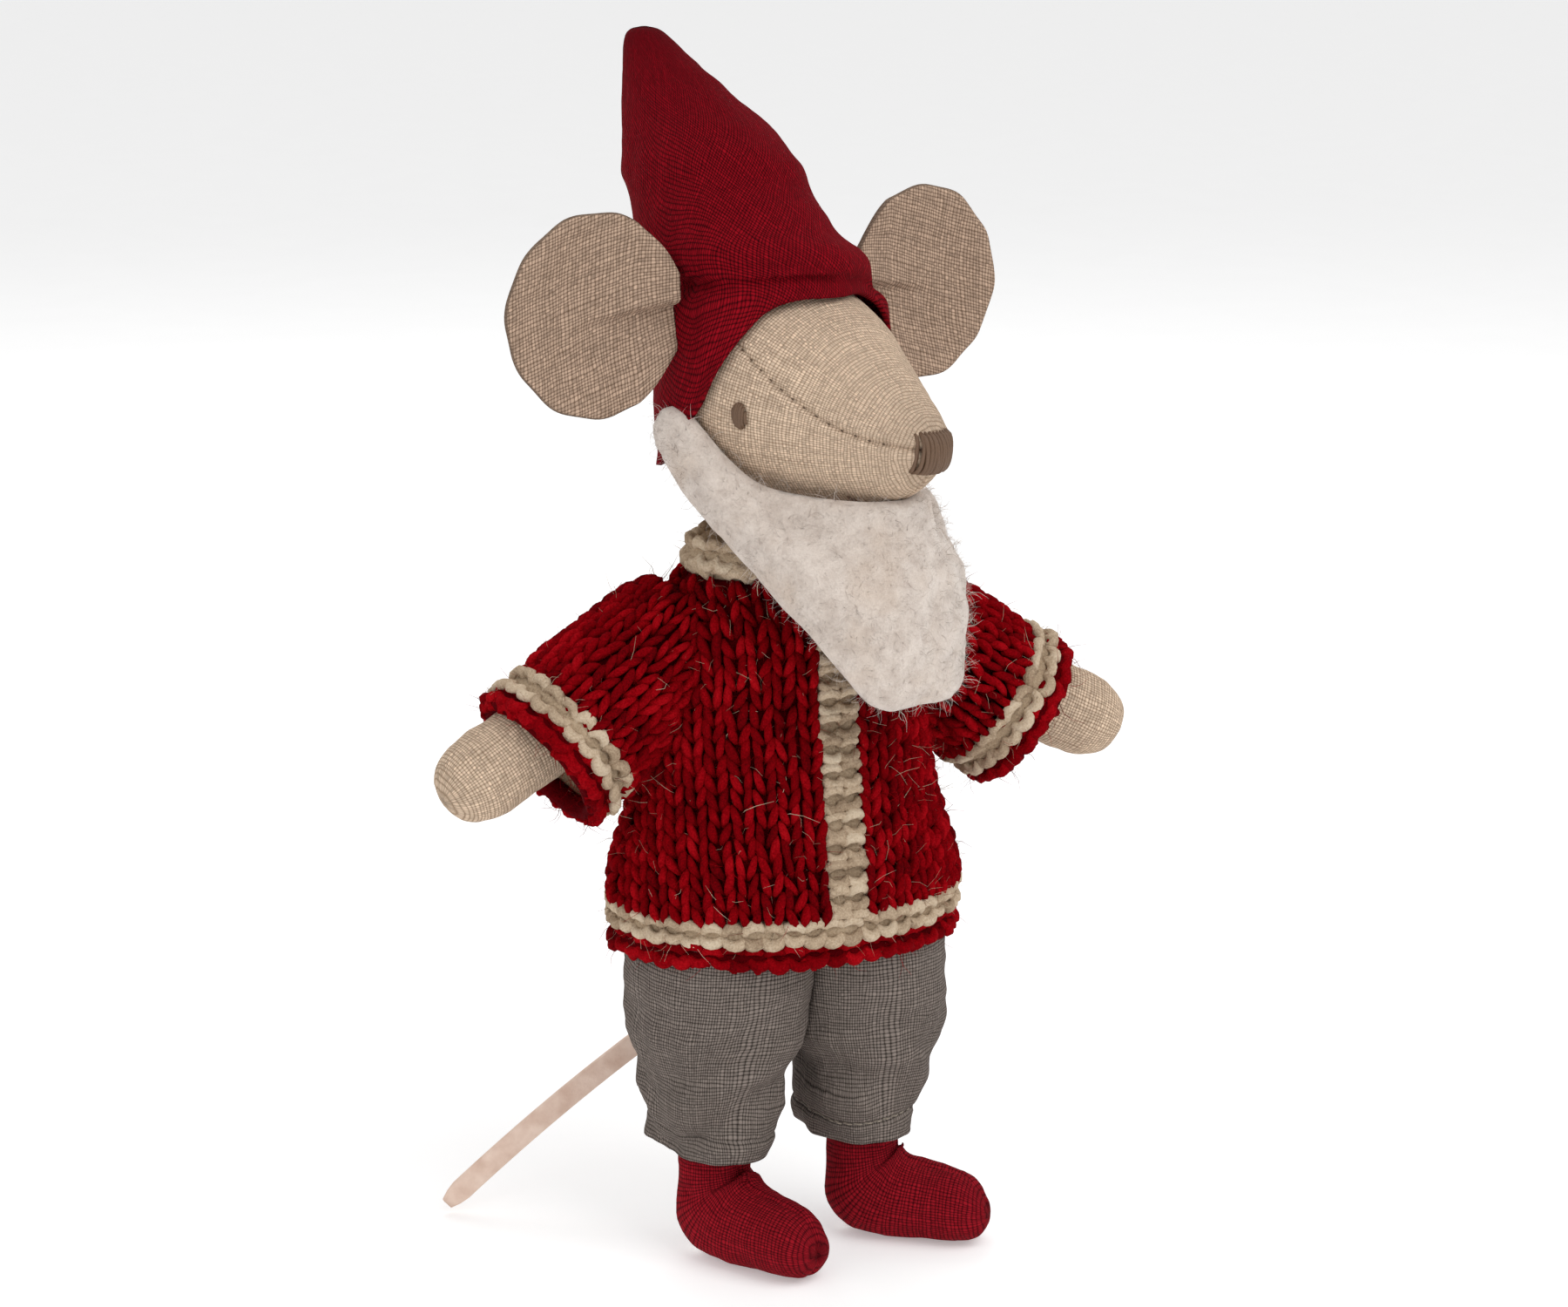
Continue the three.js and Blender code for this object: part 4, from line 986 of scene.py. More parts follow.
def ring_body(name, centre, axis, first, half_first, half_second, section, material, seed):
    """A soft rolled edge: a section of (out, along) pairs carried round an oval opening."""
    axis, first = np.array(axis, float), np.array(first, float)
    second = np.cross(axis, first)
    rings = []
    for t in np.linspace(0, 2 * np.pi, 96, endpoint=False):
        way = np.array(first * math.cos(t) / half_first + second * math.sin(t) / half_second)
        way /= np.linalg.norm(way)
        spot = np.asarray(centre) + first * half_first * math.cos(t) + second * half_second * math.sin(t)
        wobble = 0.3 * noise.noise(Vector((2.5 * math.cos(t), 2.5 * math.sin(t), seed)))
        rings.append([spot + way * (a + wobble) + axis * (b + wobble) for a, b in section])
    rings = np.array(rings).transpose(1, 0, 2)
    closed = np.concatenate([rings, rings[:1]])
    points = closed[:-1].reshape(-1, 3)
    rows, columns = rings.shape[:2]
    faces, corners = [], []
    for i in range(rows):
        n = (i + 1) % rows
        for j in range(columns):
            k = (j + 1) % columns
            faces.append((i * columns + j, i * columns + k, n * columns + k, n * columns + j))
            corners.append([(j * 1.5, i), (j * 1.5 + 1.5, i), (j * 1.5 + 1.5, i + 1), (j * 1.5, i + 1)])
    return body_mesh(name, points, faces, corners, material)


def round_section(out_half, along_half, count=12):
    return [(out_half * math.cos(a), along_half * math.sin(a)) for a in np.linspace(0, 2 * np.pi, count, endpoint=False)]


UP = (0, 0, 1)
RIGHT = (1, 0, 0)


def trim(name, node, body, colour, ground, base_hoop, section, loops, seed, hair_count, push=0.3):
    centre, axis, first, half_first, half_second = base_hoop
    # The rolled base is in the darker ground wool, painted shade for the depths between the loops.
    base = ring_body(name, centre, axis, first, half_first, half_second, section, ground, seed)
    rows = [(np.asarray(centre) + np.asarray(axis, float) * along_it, axis, first,
             half_first + out_by, half_second + out_by, way_up) for along_it, out_by, way_up in loops]
    yarn_on = looped_trim(f"{name}_loops", rows, colour, seed, push=push)
    fuzz = hairs(f"{name}_hairs", base, hair_count, 2.4, seed + 1, colour)
    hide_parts(node)
    for piece in (base, yarn_on, fuzz):
        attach(piece, body)
    return base


HEM_HALF = 24.9
trim("hem_band", "cardigan_hem_band", "torso", beige_wool, beige_shaded_ground,
     ((0, BODY_Y, 51.7), UP, RIGHT, HEM_HALF - 0.6, (HEM_HALF - 0.6) * BODY_DEPTH), round_section(1.0, 2.1),
     [(0.8, 0.4, 1), (-0.6, 0.4, -1)], 21, 420, push=0.5)
trim("hem_roll", "cardigan_hem_roll", "torso", red_wool, red_shaded_ground,
     ((0, BODY_Y, 48.1), UP, RIGHT, HEM_HALF - 0.9, (HEM_HALF - 0.9) * BODY_DEPTH), round_section(1.1, 1.3),
     [(1.1, 0.35, 1), (-0.1, 0.75, -1), (-1.1, 0.2, 1)], 22, 420, push=0.2)
trim("neck_band", "cardigan_neck_band", "torso", beige_wool, beige_shaded_ground,
     ((0, BODY_Y, 101.6), UP, RIGHT, 12.6, 9.8), round_section(1.5, 2.3),
     [(2.0, 0.1, 1), (0.4, 0.8, -1), (-1.3, 0.7, 1)], 23, 260, push=0.5)


# --- Sleeves ---
# Two short wide sleeves, knitted like the body and sewn into it at the shoulder. They hang from
# the shoulder.
SLEEVE_SECTIONS = [
    # along the arm, radius
    (-4.5, 7.6),
    (0.5, 8.9),
    (6.0, 9.6),
    (12.0, 10.2),
    (19.4, 10.4),
]
SLEEVE_COLUMNS = 20
SLEEVE_STITCHES = 10

for side, sign in SIDES.items():
    axis = arm_line(sign)
    first = np.cross(axis, (0, 1, 0))
    first /= np.linalg.norm(first)
    second = np.cross(axis, first)

    def sleeve_place(along_it, angle, axis=axis, first=first, second=second, side=side):
        radius = np.interp(along_it, *np.array(SLEEVE_SECTIONS).T)
        way = first * math.cos(angle) + second * math.sin(angle)
        centre = shoulders[side] + axis * along_it
        soft = 0.7 * noise.noise(Vector(centre / 9 + way * 0.9)) + 0.25 * noise.noise(Vector(centre / 4 + way * 2))
        return centre + way * (radius + soft), way

    rings = np.array([[sleeve_place(along_it, angle)[0] for angle in np.linspace(0, 2 * np.pi, 56, endpoint=False)]
                      for along_it in np.linspace(-4.5, 19.6, 28)])
    rings -= outward(rings) * 0.5
    # The sleeve under the stitches is in the darker ground wool, painted shade between the stitches.
    sleeve = walled(f"knit_sleeve_{side}", rings, WOOL_WALL, red_shaded_ground)
    rng = np.random.default_rng(61 + sign)
    places, ups, outs, sizes = [], [], [], []
    for row in range(SLEEVE_STITCHES):
        for column in range(SLEEVE_COLUMNS):
            along_it = 19.0 - row * STITCH_HEIGHT + rng.normal(0, 0.14)
            angle = 2 * np.pi * column / SLEEVE_COLUMNS + rng.normal(0, 0.012)
            place, way = sleeve_place(along_it, angle)
            fat = rng.normal(1, 0.06)
            wide = 2 * np.pi * np.interp(along_it, *np.array(SLEEVE_SECTIONS).T) / SLEEVE_COLUMNS / STITCH_WIDTH
            places.append(place + way * 0.1)
            ups.append(-axis + rng.normal(0, 0.07, 3))
            outs.append(way)
            sizes.append((fat * wide, rng.normal(1.02, 0.07), fat * 1.05))
    sleeve_stitches = set_out(f"sleeve_stitches_{side}", knit_shape, red_wool, places, ups, outs, sizes)
    fuzz = hairs(f"sleeve_hairs_{side}", sleeve, 3000, 2.2, 91 + sign, red_wool)
    pale = hairs(f"sleeve_pale_hairs_{side}", sleeve, 260, 3.0, 95 + sign, beige_wool)
    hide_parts(f"sleeve_{side}")
    for piece in (sleeve, sleeve_stitches, fuzz, pale):
        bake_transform(piece)

    # Cuff: two beige rows and a red edge that rolls back by itself
    cuff = shoulders[side] + axis * 21.3
    trim(f"cuff_band_knit_{side}", f"cuff_band_{side}", f"arm_{side}", beige_wool, beige_shaded_ground,
         (cuff, -axis, first, 10.1, 10.1), round_section(0.9, 2.0), [(1.0, 0.3, 1), (-0.9, 0.5, -1)], 31 + sign, 300, 0.5)
    trim(f"cuff_roll_knit_{side}", f"cuff_roll_{side}", f"arm_{side}", red_wool, red_shaded_ground,
         (cuff + axis * 3.4, -axis, first, 9.9, 9.9), round_section(1.4, 1.6),
         [(1.2, 0.3, 1), (0.1, 0.8, -1), (-1.1, 0.3, 1)], 34 + sign, 380, 0.25)


# --- Arms ---
# Each arm is one linen tube with a plain rounded end for a hand, filled tight. It is sewn to
# the body inside the sleeve.
# The second colour is painted shade for the gaps between the threads.
arm_linen = linen("arm_linen", paint(214, 190, 166), paint(132, 108, 86), 0.46)
ARM_SECTIONS = [
    # along the arm, half thickness
    (-0.5, 4.4),
    (4.0, 5.5),
    (12.0, 5.8),
    (22.0, 6.0),
    (28.0, 6.0),
    (31.5, 5.2),
    (33.6, 3.8),
    (34.6, 1.8),
    (34.8, 0.4),
]
ARM_START = 5.5
ARM_RISE = math.radians(9)
for side, sign in SIDES.items():
    axis = arm_line(sign, SLEEVE_DROP - ARM_RISE)
    arm_root = shoulders[side] + arm_line(sign) * ARM_START
    first = np.cross(axis, (0, 1, 0))
    first /= np.linalg.norm(first)
    second = np.cross(axis, first)
    rows = eased(ARM_SECTIONS, 72)
    angles = np.linspace(0, 2 * np.pi, 72, endpoint=False)
    rings = np.array([[arm_root + axis * along_it + half * (first * math.cos(a) + second * math.sin(a)) for a in angles]
                      for along_it, half in rows])
    bumps_on = 0.28 * rumple(rings, 6, 71 + sign) + 0.12 * rumple(rings, 2.2, 73 + sign)
    seam = dip(np.abs(np.sin(angles / 2 + 0.35)) * 12, 0.5)[None, :]
    rings += outward(rings) * (bumps_on - 0.3 * seam)[..., None]
    arm = tube(f"arm_{side}_linen", rings, arm_linen)
    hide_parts(f"arm_skin_{side}")
    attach(arm, f"arm_{side}")


# --- Head ---
# A linen ball drawn out into a snout, filled tight. A wide forehead piece is let in between two
# side pieces. The seams meet at the sides of the nose and one runs back under the chin.
HEAD_TURN = math.radians(19)
HEAD_CENTRE = 16.1
SNOUT_DROP = math.radians(10)
HEAD_SECTIONS = [
    # along the snout, radius, fullness under the jaw
    (-15.6, 0.3, 0.0),
    (-15.0, 4.2, 0.0),
    (-12.0, 9.9, 0.0),
    (-8.0, 13.4, 0.0),
    (-3.0, 15.4, 0.0),
    (1.0, 15.7, 0.1),
    (5.0, 15.1, 0.4),
    (10.0, 13.3, 1.2),
    (15.0, 11.0, 2.2),
    (20.0, 8.6, 2.8),
    (24.0, 6.6, 2.7),
    (27.0, 5.1, 2.2),
    (29.0, 3.7, 1.5),
    (30.2, 2.0, 0.7),
    (30.6, 0.3, 0.1),
]
SEAM_ANGLES = [(-16, 42), (0, 50), (2.4, 55), (10, 67), (16, 77), (20, 84), (25, 88), (31, 84)]
# The second colour is painted shade for the gaps between the threads.
face_linen = linen("face_linen", paint(218, 194, 170), paint(140, 114, 92), 0.44)
neck = joints["neck_turn"]
head_way = np.array([[math.cos(HEAD_TURN), math.sin(HEAD_TURN), 0],
                     [-math.sin(HEAD_TURN), math.cos(HEAD_TURN), 0], [0, 0, 1]])


def on_head(points):
    """Moves points from the head's own directions, from its centre, to their place on the doll."""
    return np.asarray(points, float) @ head_way + neck + np.array([0, 0, HEAD_CENTRE])


def head_point(along_it, angle, lift=0.0):
    """A point of the head, that far along the snout and that many degrees round from the top."""
    rows = eased(HEAD_SECTIONS, 400)
    radius = np.interp(along_it, rows[:, 0], rows[:, 1]) + lift
    full = np.interp(along_it, rows[:, 0], rows[:, 2])
    angle = np.radians(angle)
    under = np.maximum(0, -np.cos(angle)) ** 1.5
    side_x = radius * np.sin(angle)
    upward = radius * np.cos(angle) - full * under
    return np.stack([side_x + 0 * upward, -along_it * math.cos(SNOUT_DROP) - upward * math.sin(SNOUT_DROP),
                     -along_it * math.sin(SNOUT_DROP) + upward * math.cos(SNOUT_DROP)], -1)


rows = eased(HEAD_SECTIONS, 130)
degrees = np.linspace(0, 360, 160, endpoint=False)
rings = head_point(rows[:, 0:1], degrees[None, :])
seam_at = np.interp(rows[:, 0:1], *np.array(SEAM_ANGLES).T)
from_top = np.minimum(degrees, 360 - degrees)[None, :]
seam_gap = np.radians(from_top - seam_at) * rows[:, 1:2]
chin_gap = np.radians(180 - from_top) * rows[:, 1:2]
puff = 0.22 * rumple(rings, 8, 31) + 0.08 * rumple(rings, 2.5, 32)
puff += 0.25 * np.exp(-((np.abs(seam_gap) - 1.0) / 0.9) ** 2)
puff -= 0.5 * dip(seam_gap, 0.32) + 0.4 * dip(chin_gap, 0.35) * (rows[:, 0:1] > 4)
rings += outward(rings) * puff[..., None]
head = tube("head_linen", on_head(rings), face_linen)
seam_thread = thread("seam_thread", 96, 74, 54)
seam_runs = []
for sign in SIDES.values():
    distances = np.linspace(3, 26.2, 60)
    run = head_point(distances, sign * np.interp(distances, *np.array(SEAM_ANGLES).T), lift=0.02)
    seam_runs.append(on_head(run))
seam_stitches = grown("forehead_seam_stitches", path_mesh("forehead seams", seam_runs), stitches,
                      spacing=2.0 * MM, stitch_length=0.5 * MM, thread=0.26 * MM, thread_colour=seam_thread)
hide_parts("head_side_right", "head_side_left", "head_gusset")
for piece in (head, seam_stitches):
    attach(piece, "head")


# --- Eyes, nose and mouth ---
# Sewn straight onto the linen with brown thread: an upright oval for each eye, a squarish nose
# of long satin stitches over the tip of the snout, and a short curved line for the mouth.
brown_thread = thread("brown_thread", 112, 84, 62)


def strands(name, lines, thick, node, seed):
    """Lengths of thread laid side by side, sewn through at both ends."""
    rng = np.random.default_rng(seed)
    radii = [np.full(len(line), thick) * rng.normal(1, 0.08) for line in lines]
    for radius in radii:
        radius[0] = radius[-1] = thick * 0.6
    obj = yarn(name, [on_head(line) for line in lines], radii, 1.0, sides=8)
    obj.hide_render = False
    obj.data.materials.append(brown_thread)
    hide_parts(node)
    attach(obj, "head")
    return obj


EYE_ALONG = 7.4
EYE_ANGLE = 92
EYE_HEIGHT = 3.6
EYE_WIDTH = 2.0
for side, sign in SIDES.items():
    lines = []
    for nth in range(7):
        across_it = (nth - 3) / 3.4
        tall = EYE_HEIGHT * math.sqrt(1 - across_it ** 2) / 2
        middle = math.degrees(0.12 * across_it / 15)
        spread = np.linspace(-1, 1, 9)
        angle = EYE_ANGLE + np.degrees(tall * spread / 14.6) + middle
        forward = EYE_ALONG + across_it * EYE_WIDTH / 2 + 0.12 * spread
        crown = 0.12 + 0.5 * np.sqrt(1 - across_it ** 2) * (1 - spread ** 4) ** 0.5
        lines.append([head_point(f, sign * a, lift=c) for f, a, c in zip(forward, angle, crown)])
    strands(f"eye_thread_{side}", lines, 0.24, f"eye_{side}", 51 + sign)

NOSE_HALF = 3.0
NOSE_DOME = 3.1
snout_way = np.array([0, -math.cos(SNOUT_DROP), -math.sin(SNOUT_DROP)])
snout_up = np.array([0, -math.sin(SNOUT_DROP), math.cos(SNOUT_DROP)])
lines = []
for nth in range(15):
    u = (nth - 7) / 7.3
    spread = np.linspace(-1, 1, 13)
    half = NOSE_HALF * (1 - 0.12 * abs(u) ** 3)
    dome = NOSE_DOME * (1 - abs(u) ** 2.4) ** 0.45 * (1 - np.abs(spread) ** 2.4 * 0.97) ** 0.45 + 0.35
    skew = 0.18 * math.sin(nth * 2.1)
    lines.append([snout_way * (28.5 + d) + snout_up * (-0.4 + half * v) + np.array([NOSE_HALF * u + skew * v, 0, 0])
                  for v, d in zip(spread, dome)])
nose_core = []
for ring in range(10):
    t = ring / 9
    half = NOSE_HALF * math.cos(t * math.pi / 2) ** 0.6 * 0.92 + 0.02
    level = 27.3 + (NOSE_DOME + 0.7) * math.sin(t * math.pi / 2)
    section = rounded_box(2 * half, 2 * half, half * 0.6, steps=4)
    nose_core.append([snout_way * level + snout_up * (b - 0.4) + np.array([a, 0, 0]) for a, b in section])
nose_base = tube("nose_padding", on_head(nose_core), brown_thread)
strands("nose_thread", lines, 0.3, "nose", 57)
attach(nose_base, "head")

mouth_spread = np.linspace(0, 1, 16)
mouth_line = [head_point(23.6 - 3.4 * t, -(180 - 16 - 20 * t + 8 * math.sin(math.pi * t)), lift=0.12) for t in mouth_spread]
mouth_lines = [mouth_line, [head_point(23.6 - 3.4 * t, -(180 - 15 - 20 * t + 8 * math.sin(math.pi * t)), lift=0.1)
                            for t in mouth_spread[2:13]]]
strands("mouth_thread", mouth_lines, 0.17, "mouth_stitch", 58)


# --- Ears ---
# Two round ears, each of a front and a back piece of linen sewn at the rim and turned out. A
# pleat gathers the root, which is pushed through a slit in the cap and sewn to the head.
# The second colour is painted shade for the gaps between the threads.
ear_linen = linen("ear_linen", paint(180, 154, 134), paint(98, 78, 62), 0.5)
EAR_RADIUS = 13.8
EAR_REACH = 11.6
EAR_TURN = {"right": -11, "left": -3}
EAR_CHORD = 12.0

for side, sign in SIDES.items():
    turned_by = HEAD_TURN + math.radians(EAR_TURN[side])
    c, s = math.cos(turned_by), math.sin(turned_by)
    ear_way = np.array([[c, s, 0], [-s, c, 0], [0, 0, 1]])
    angles = np.linspace(0, 2 * np.pi, 120, endpoint=False)
    facets = 1 + 0.011 * np.cos(11 * angles + sign) + 0.006 * np.cos(5 * angles)
    scales = np.concatenate([np.linspace(0.02, 0.9, 26), [0.95, 0.985, 1.0], [0.985, 0.95], np.linspace(0.9, 0.02, 26)])
    faces_of = np.array([-1.0] * 28 + [0.0] + [1.0] * 28)
    rings, cloth = [], []
    for scale, face in zip(scales, faces_of):
        x = EAR_RADIUS * scale * facets * np.cos(angles)
        z = EAR_RADIUS * scale * facets * np.sin(angles)
        x = np.maximum(x, -EAR_CHORD)
        radial = np.hypot(x, z) / EAR_RADIUS
        wall = 1.15 * math.sqrt(max(0.0, 1 - scale ** 8)) * (0.8 + 0.2 * (1 - scale ** 2)) + 0.12
        dish = -2.6 * radial ** 2.0 + 1.3
        pleat_line = z + 1.2 + 0.16 * x
        near_root = np.clip((4 - x) / 12, 0, 1)
        step = 1.0 * np.tanh(pleat_line / 0.45) * np.exp(-(pleat_line / 6.0) ** 2)
        pleat = (step - 0.8 * dip(pleat_line, 0.6)) * near_root
        grid_points = np.stack([x, face + 0 * x, z], -1)
        lumps = 0.42 * rumple(grid_points, 7, 81 + sign) + 0.14 * rumple(grid_points, 2.4, 84 + sign)
        y = dish + face * wall + lumps * (1 - 0.5 * scale ** 6)
        y -= pleat if face <= 0 else 0.5 * pleat
        gather = np.clip((-x - 6) / 6, 0, 1)
        rings.append(np.stack([sign * (x + EAR_REACH), y, z * (1 - 0.2 * gather)], -1))
        cloth.append(np.stack([sign * x + 40 * face, z + 0.3 * x], -1))
    rings = np.array(rings) @ ear_way + joints[f"ear_flop_{side}"]
    ear = tube(f"ear_{side}", rings, ear_linen, cloth=np.array(cloth))
    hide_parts(f"ear_front_{side}", f"ear_back_{side}")
    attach(ear, f"ear_{side}")


# --- Cap ---
# A tall pointed cap of red linen cut on the bias, in one piece with a seam down the back. The
# point is padded and leans back, its edge is turned under, and the cloth sinks into soft folds
# where the ears come through.
# The second colour is painted shade for the gaps between the threads.
cap_linen = linen("cap_linen", paint(136, 10, 24), paint(34, 0, 4), 0.56, bias=True, slub=0.42, relief=0.22)
CAP_LINE = [
    # height above the head's centre, middle to the doll's right, middle back, half width, half depth
    (-16.8, 0.0, 1.1, 17.5, 17.5),
    (-8.0, 0.0, 0.6, 17.8, 17.8),
    (2.0, 0.0, 0.1, 17.9, 17.9),
    (8.0, 0.5, 0.5, 17.3, 17.5),
    (13.0, 1.2, 1.6, 16.0, 16.9),
    (19.0, 3.5, 5.0, 13.6, 15.5),
    (27.0, 4.9, 8.0, 11.3, 14.2),
    (34.6, 6.0, 11.0, 8.9, 12.5),
    (39.2, 7.3, 13.6, 6.7, 9.4),
    (43.9, 8.6, 16.1, 4.5, 5.8),
    (47.0, 9.3, 17.6, 3.0, 3.5),
    (48.2, 9.5, 18.0, 1.9, 2.1),
    (48.6, 9.5, 18.1, 0.4, 0.4),
]
CAP_EDGE = [
    # degrees round from the middle of the face, height of the edge, its distance out
    (0, 13.3, 10.6),
    (32, 13.3, 11.0),
    (53, 11.9, 12.4),
    (65, 8.6, 14.8),
    (76, 3.6, 16.7),
    (84, -0.8, 17.1),
    (92, -3.8, 17.4),
    (102, -6.6, 17.5),
    (116, -9.4, 17.5),
    (134, -11.2, 17.4),
    (180, -12.1, 17.3),
]
CAP_EDGE_EASE = 9.0


def smooth_step(value):
    value = np.clip(value, 0, 1)
    return value * value * (3 - 2 * value)


edge_rows = eased(CAP_EDGE, 200)
line_rows = eased(CAP_LINE, 300)
degrees = np.linspace(-180, 180, 192, endpoint=False)
edge_height = np.interp(np.abs(degrees), edge_rows[:, 0], edge_rows[:, 1])
edge_out = np.interp(np.abs(degrees), edge_rows[:, 0], edge_rows[:, 2])
# Rows bunch together near the tip, where the cap turns over quickly
share = 1 - (1 - np.linspace(0, 1, 130)[:, None]) ** 1.35
height = edge_height + (CAP_LINE[-1][0] - edge_height) * share
middle_x, middle_y, half_x, half_y = (np.interp(height, line_rows[:, 0], line_rows[:, i]) for i in range(1, 5))
round_by = np.radians(degrees)[None, :]
sunk = smooth_step((height - edge_height) / CAP_EDGE_EASE) ** 0.8
x = (1 - sunk) * -edge_out * np.sin(round_by) + sunk * (-middle_x - half_x * np.sin(round_by))
y = (1 - sunk) * -edge_out * np.cos(round_by) + sunk * (middle_y - half_y * np.cos(round_by))
rings = np.stack([x, y, height], -1)
front = np.cos(round_by - 0.5)
# The valley runs round above the ears, deepest over the slits, with softer folds above it
valley = 14.4 + 1.6 * front + 0.7 * np.sin(2 * round_by)
slits = np.exp(-((np.abs(np.degrees(round_by)) - 96) / 13) ** 2)
folds = -(1.35 + 1.5 * slits) * np.exp(-((height - valley) / 1.5) ** 2)
folds += 1.0 * np.exp(-((height - valley - 3.8) / 2.2) ** 2) * (0.6 + 0.4 * front)
slant = height - 26 - 3.2 * np.sin(round_by + 0.9)
folds += -0.7 * np.exp(-(slant / 1.6) ** 2) * np.clip(front, 0, 1) + 0.5 * np.exp(-((slant - 3.4) / 2.0) ** 2)
slant = height - 10.5 + 5.5 * np.cos(1.7 * round_by + 0.4)
folds += -0.45 * np.exp(-(slant / 1.4) ** 2) * (height - edge_height > 3)
folds += (0.4 * rumple(rings, 11, 101) + 0.16 * rumple(rings, 3.2, 103)) * smooth_step((height - edge_height) / 5)
folds += 0.35 * np.exp(-((height - edge_height) / 1.1) ** 2)
folds = np.maximum(folds, np.where(height > 16.4, -0.35, -9))
folds *= smooth_step((CAP_LINE[-1][0] - height) / 4)
rings += outward(rings) * folds[..., None]
# The cloth stays outside the head and the padding it covers
reach = np.linalg.norm(rings, axis=-1, keepdims=True)
near_head = smooth_step((22 - reach) / 6)
rings *= 1 + near_head * np.maximum(0, 16.9 - reach) / reach
cap = walled("cap_linen", on_head(rings), LINEN_WALL * 0.9, cap_linen)
tip = tube("cap_tip", on_head(rings[-3:]), cap_linen)
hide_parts("cap")
for piece in (cap, tip):
    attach(piece, "head")


# --- Beard ---
# One thick bib of cream wool fleece. It is sewn under the jaw from ear to ear and hangs down
# over the chest, its cut edges soft and rubbed round.
FLEECE_WALL = 3.0
BEARD_TOP = [
    # from the middle to the end at the ear: sideways, back, up
    (0.0, 0.0, -23.8, -12.8),
    (0.2, 5.2, -21.6, -12.7),
    (0.4, 9.0, -14.8, -12.4),
    (0.55, 12.2, -9.0, -11.2),
    (0.7, 14.6, -4.8, -7.8),
    (0.85, 16.6, -0.8, -3.2),
    (0.95, 17.3, 3.0, -1.4),
    (1.0, 17.3, 5.8, -2.4),
]
BEARD_FOOT = [
    # from the middle to the end, height of the lower edge
    (0.0, -40.5),
    (0.3, -40.2),
    (0.48, -38.0),
    (0.62, -32.0),
    (0.78, -23.0),
    (0.92, -14.0),
    (1.0, -8.5),
]
BEARD_PLAN = [
    # height, half width, how far forward the front is, how far back the ends are
    (-41.0, 10.8, -26.4, -20.0),
    (-38.0, 11.6, -27.6, -18.5),
    (-31.0, 13.0, -28.4, -11.0),
    (-22.0, 15.0, -27.0, -4.0),
    (-13.0, 16.8, -23.6, 2.4),
    (-6.0, 18.0, -20.4, 6.6),
    (-1.0, 18.2, -17.0, 7.8),
]


def fleece(name, shade, cream, fleck):
    """Brushed wool fleece: short fine fibres in soft tufts, with a few darker ones."""
    made = Finish(name, Roughness=1.0, Sheen_Weight=0.4, Sheen_Roughness=0.6, Specular_IOR_Level=0.1)
    place = made.node("ShaderNodeTexCoord", {}, 3)
    fibres = made.grain(place, 2600, 4.0, 0.7)
    tufts = made.grain(place, 420, 3.0)
    patches = made.grain(place, 130, 2.0)
    made.bumps(fibres * 0.9 + tufts * 0.9, 0.9, 0.4)
    ground = made.mix((tufts * 0.6 + fibres * 0.5).between(0.36, 0.66), shade, cream)
    return made.done(made.mix(patches.between(0.52, 0.74) * 0.45, ground, fleck))


beard_fleece = fleece("beard_fleece", paint(198, 182, 170), paint(228, 215, 204), paint(208, 186, 166))
plan_rows = eased(BEARD_PLAN, 120)
across_share = np.linspace(-1, 1, 90)
up_share = np.linspace(0, 1, 60)
top_rows, foot_rows = eased(BEARD_TOP, 100), eased(BEARD_FOOT, 100)
outer, inner = [], []
for up in up_share:
    row = []
    for s in across_share:
        low = np.interp(abs(s), *foot_rows.T)
        sewn = np.array([np.interp(abs(s), top_rows[:, 0], top_rows[:, i]) for i in (1, 2, 3)])
        high = sewn[2]
        at = low + (high - low) * up
        half, forward, ends = (np.interp(at, plan_rows[:, 0], plan_rows[:, i]) for i in (1, 2, 3))
        bend = abs(s) * math.radians(104)
        depth = (1 - math.cos(bend)) / (1 - math.cos(math.radians(104)))
        free = np.array([half * math.sin(bend) ** 0.92, forward + (ends - forward) * depth, at])
        held = smooth_step((up - 0.55) / 0.45)
        spot = free * (1 - held) + sewn * held
        row.append((math.copysign(spot[0], s), spot[1], at))
    outer.append(row)
outer = np.array(outer)
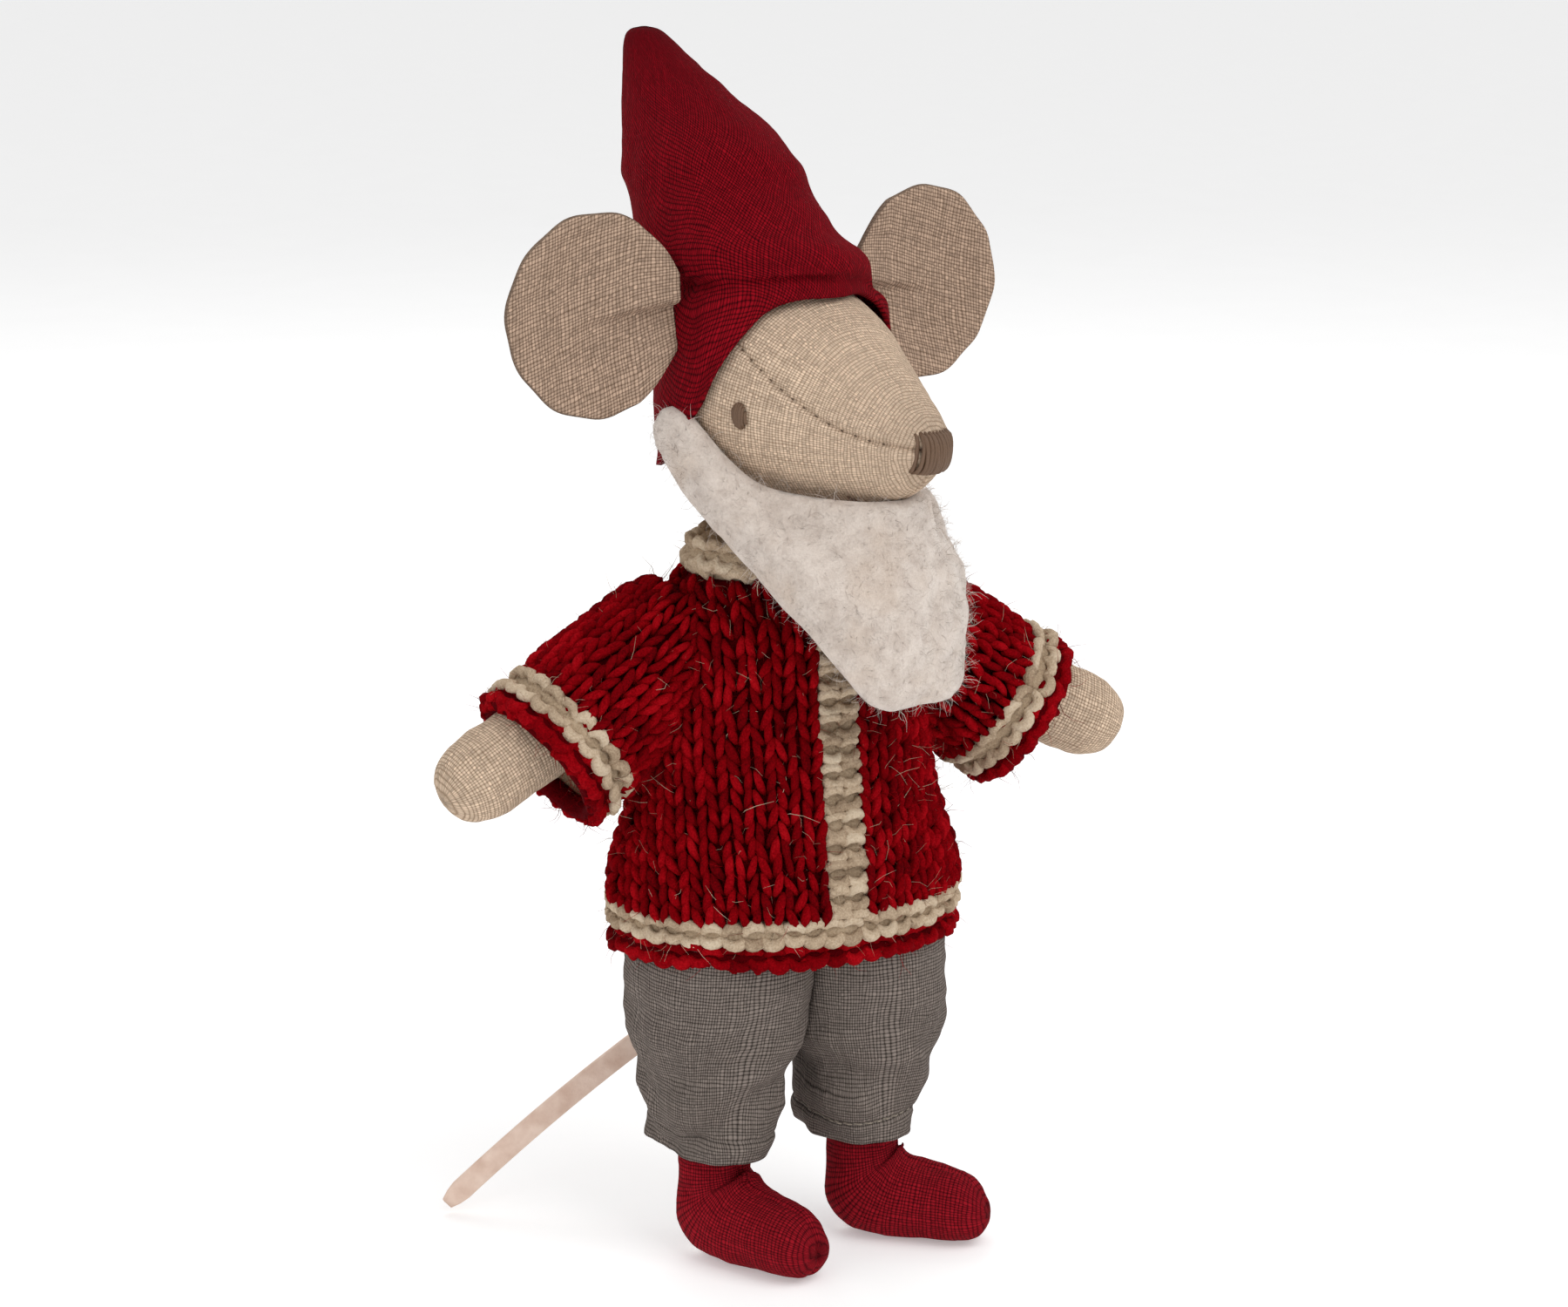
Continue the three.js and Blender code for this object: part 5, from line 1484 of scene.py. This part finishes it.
along_s, along_t = np.gradient(outer, axis=1), np.gradient(outer, axis=0)
ways = np.cross(along_s, along_t)
ways /= np.linalg.norm(ways, axis=2, keepdims=True)
ways *= np.sign((ways[30, 45] * np.array([0, -1, 0])).sum())
tall = np.linalg.norm(np.diff(outer, axis=0), axis=2).sum(0)[None, :]
to_edge = np.minimum(np.minimum(up_share, 1 - up_share)[:, None] * tall, (1 - np.abs(across_share))[None, :] * 34)
wall = FLEECE_WALL * np.sqrt(1 - (1 - np.clip(to_edge / 2.2, 0, 1)) ** 2) + 0.25
lumps = 0.7 * rumple(outer, 8, 111) + 0.35 * rumple(outer, 2.6, 112) + 0.15 * rumple(outer, 1.1, 113)
front_face = outer + ways * (lumps + wall * 0.5)[..., None]
back_face = outer - ways * (wall * 0.5)[..., None]
# Nothing of it sinks into the head
for face_points, least in ((back_face, 16.3), (front_face, 16.9)):
    reach = np.linalg.norm(face_points, axis=-1, keepdims=True)
    face_points *= np.maximum(1, least / reach)
rows_count, columns = outer.shape[:2]
points = np.concatenate([front_face.reshape(-1, 3), back_face.reshape(-1, 3)])
offset = rows_count * columns
faces = []
for i in range(rows_count - 1):
    for j in range(columns - 1):
        a, b = i * columns + j, (i + 1) * columns + j
        faces.append((a, a + 1, b + 1, b))
        faces.append((b + offset, b + 1 + offset, a + 1 + offset, a + offset))
rim = [j for j in range(columns)] + [i * columns + columns - 1 for i in range(1, rows_count)]
rim += [(rows_count - 1) * columns + j for j in range(columns - 2, -1, -1)]
rim += [i * columns for i in range(rows_count - 2, 0, -1)]
for a, b in zip(rim, rim[1:] + rim[:1]):
    faces.append((b, a, a + offset, b + offset))
cloth = [[(points[corner][0], points[corner][2]) for corner in face] for face in faces]
beard = body_mesh("beard_fleece", on_head(points), faces, cloth, beard_fleece)
beard_hairs = hairs("beard_fibres", beard, 7000, 1.5, 121, beard_fleece, clump=1.3, lean=1.0, width=0.6)
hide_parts("beard")
for piece in (beard, beard_hairs):
    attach(piece, "head")
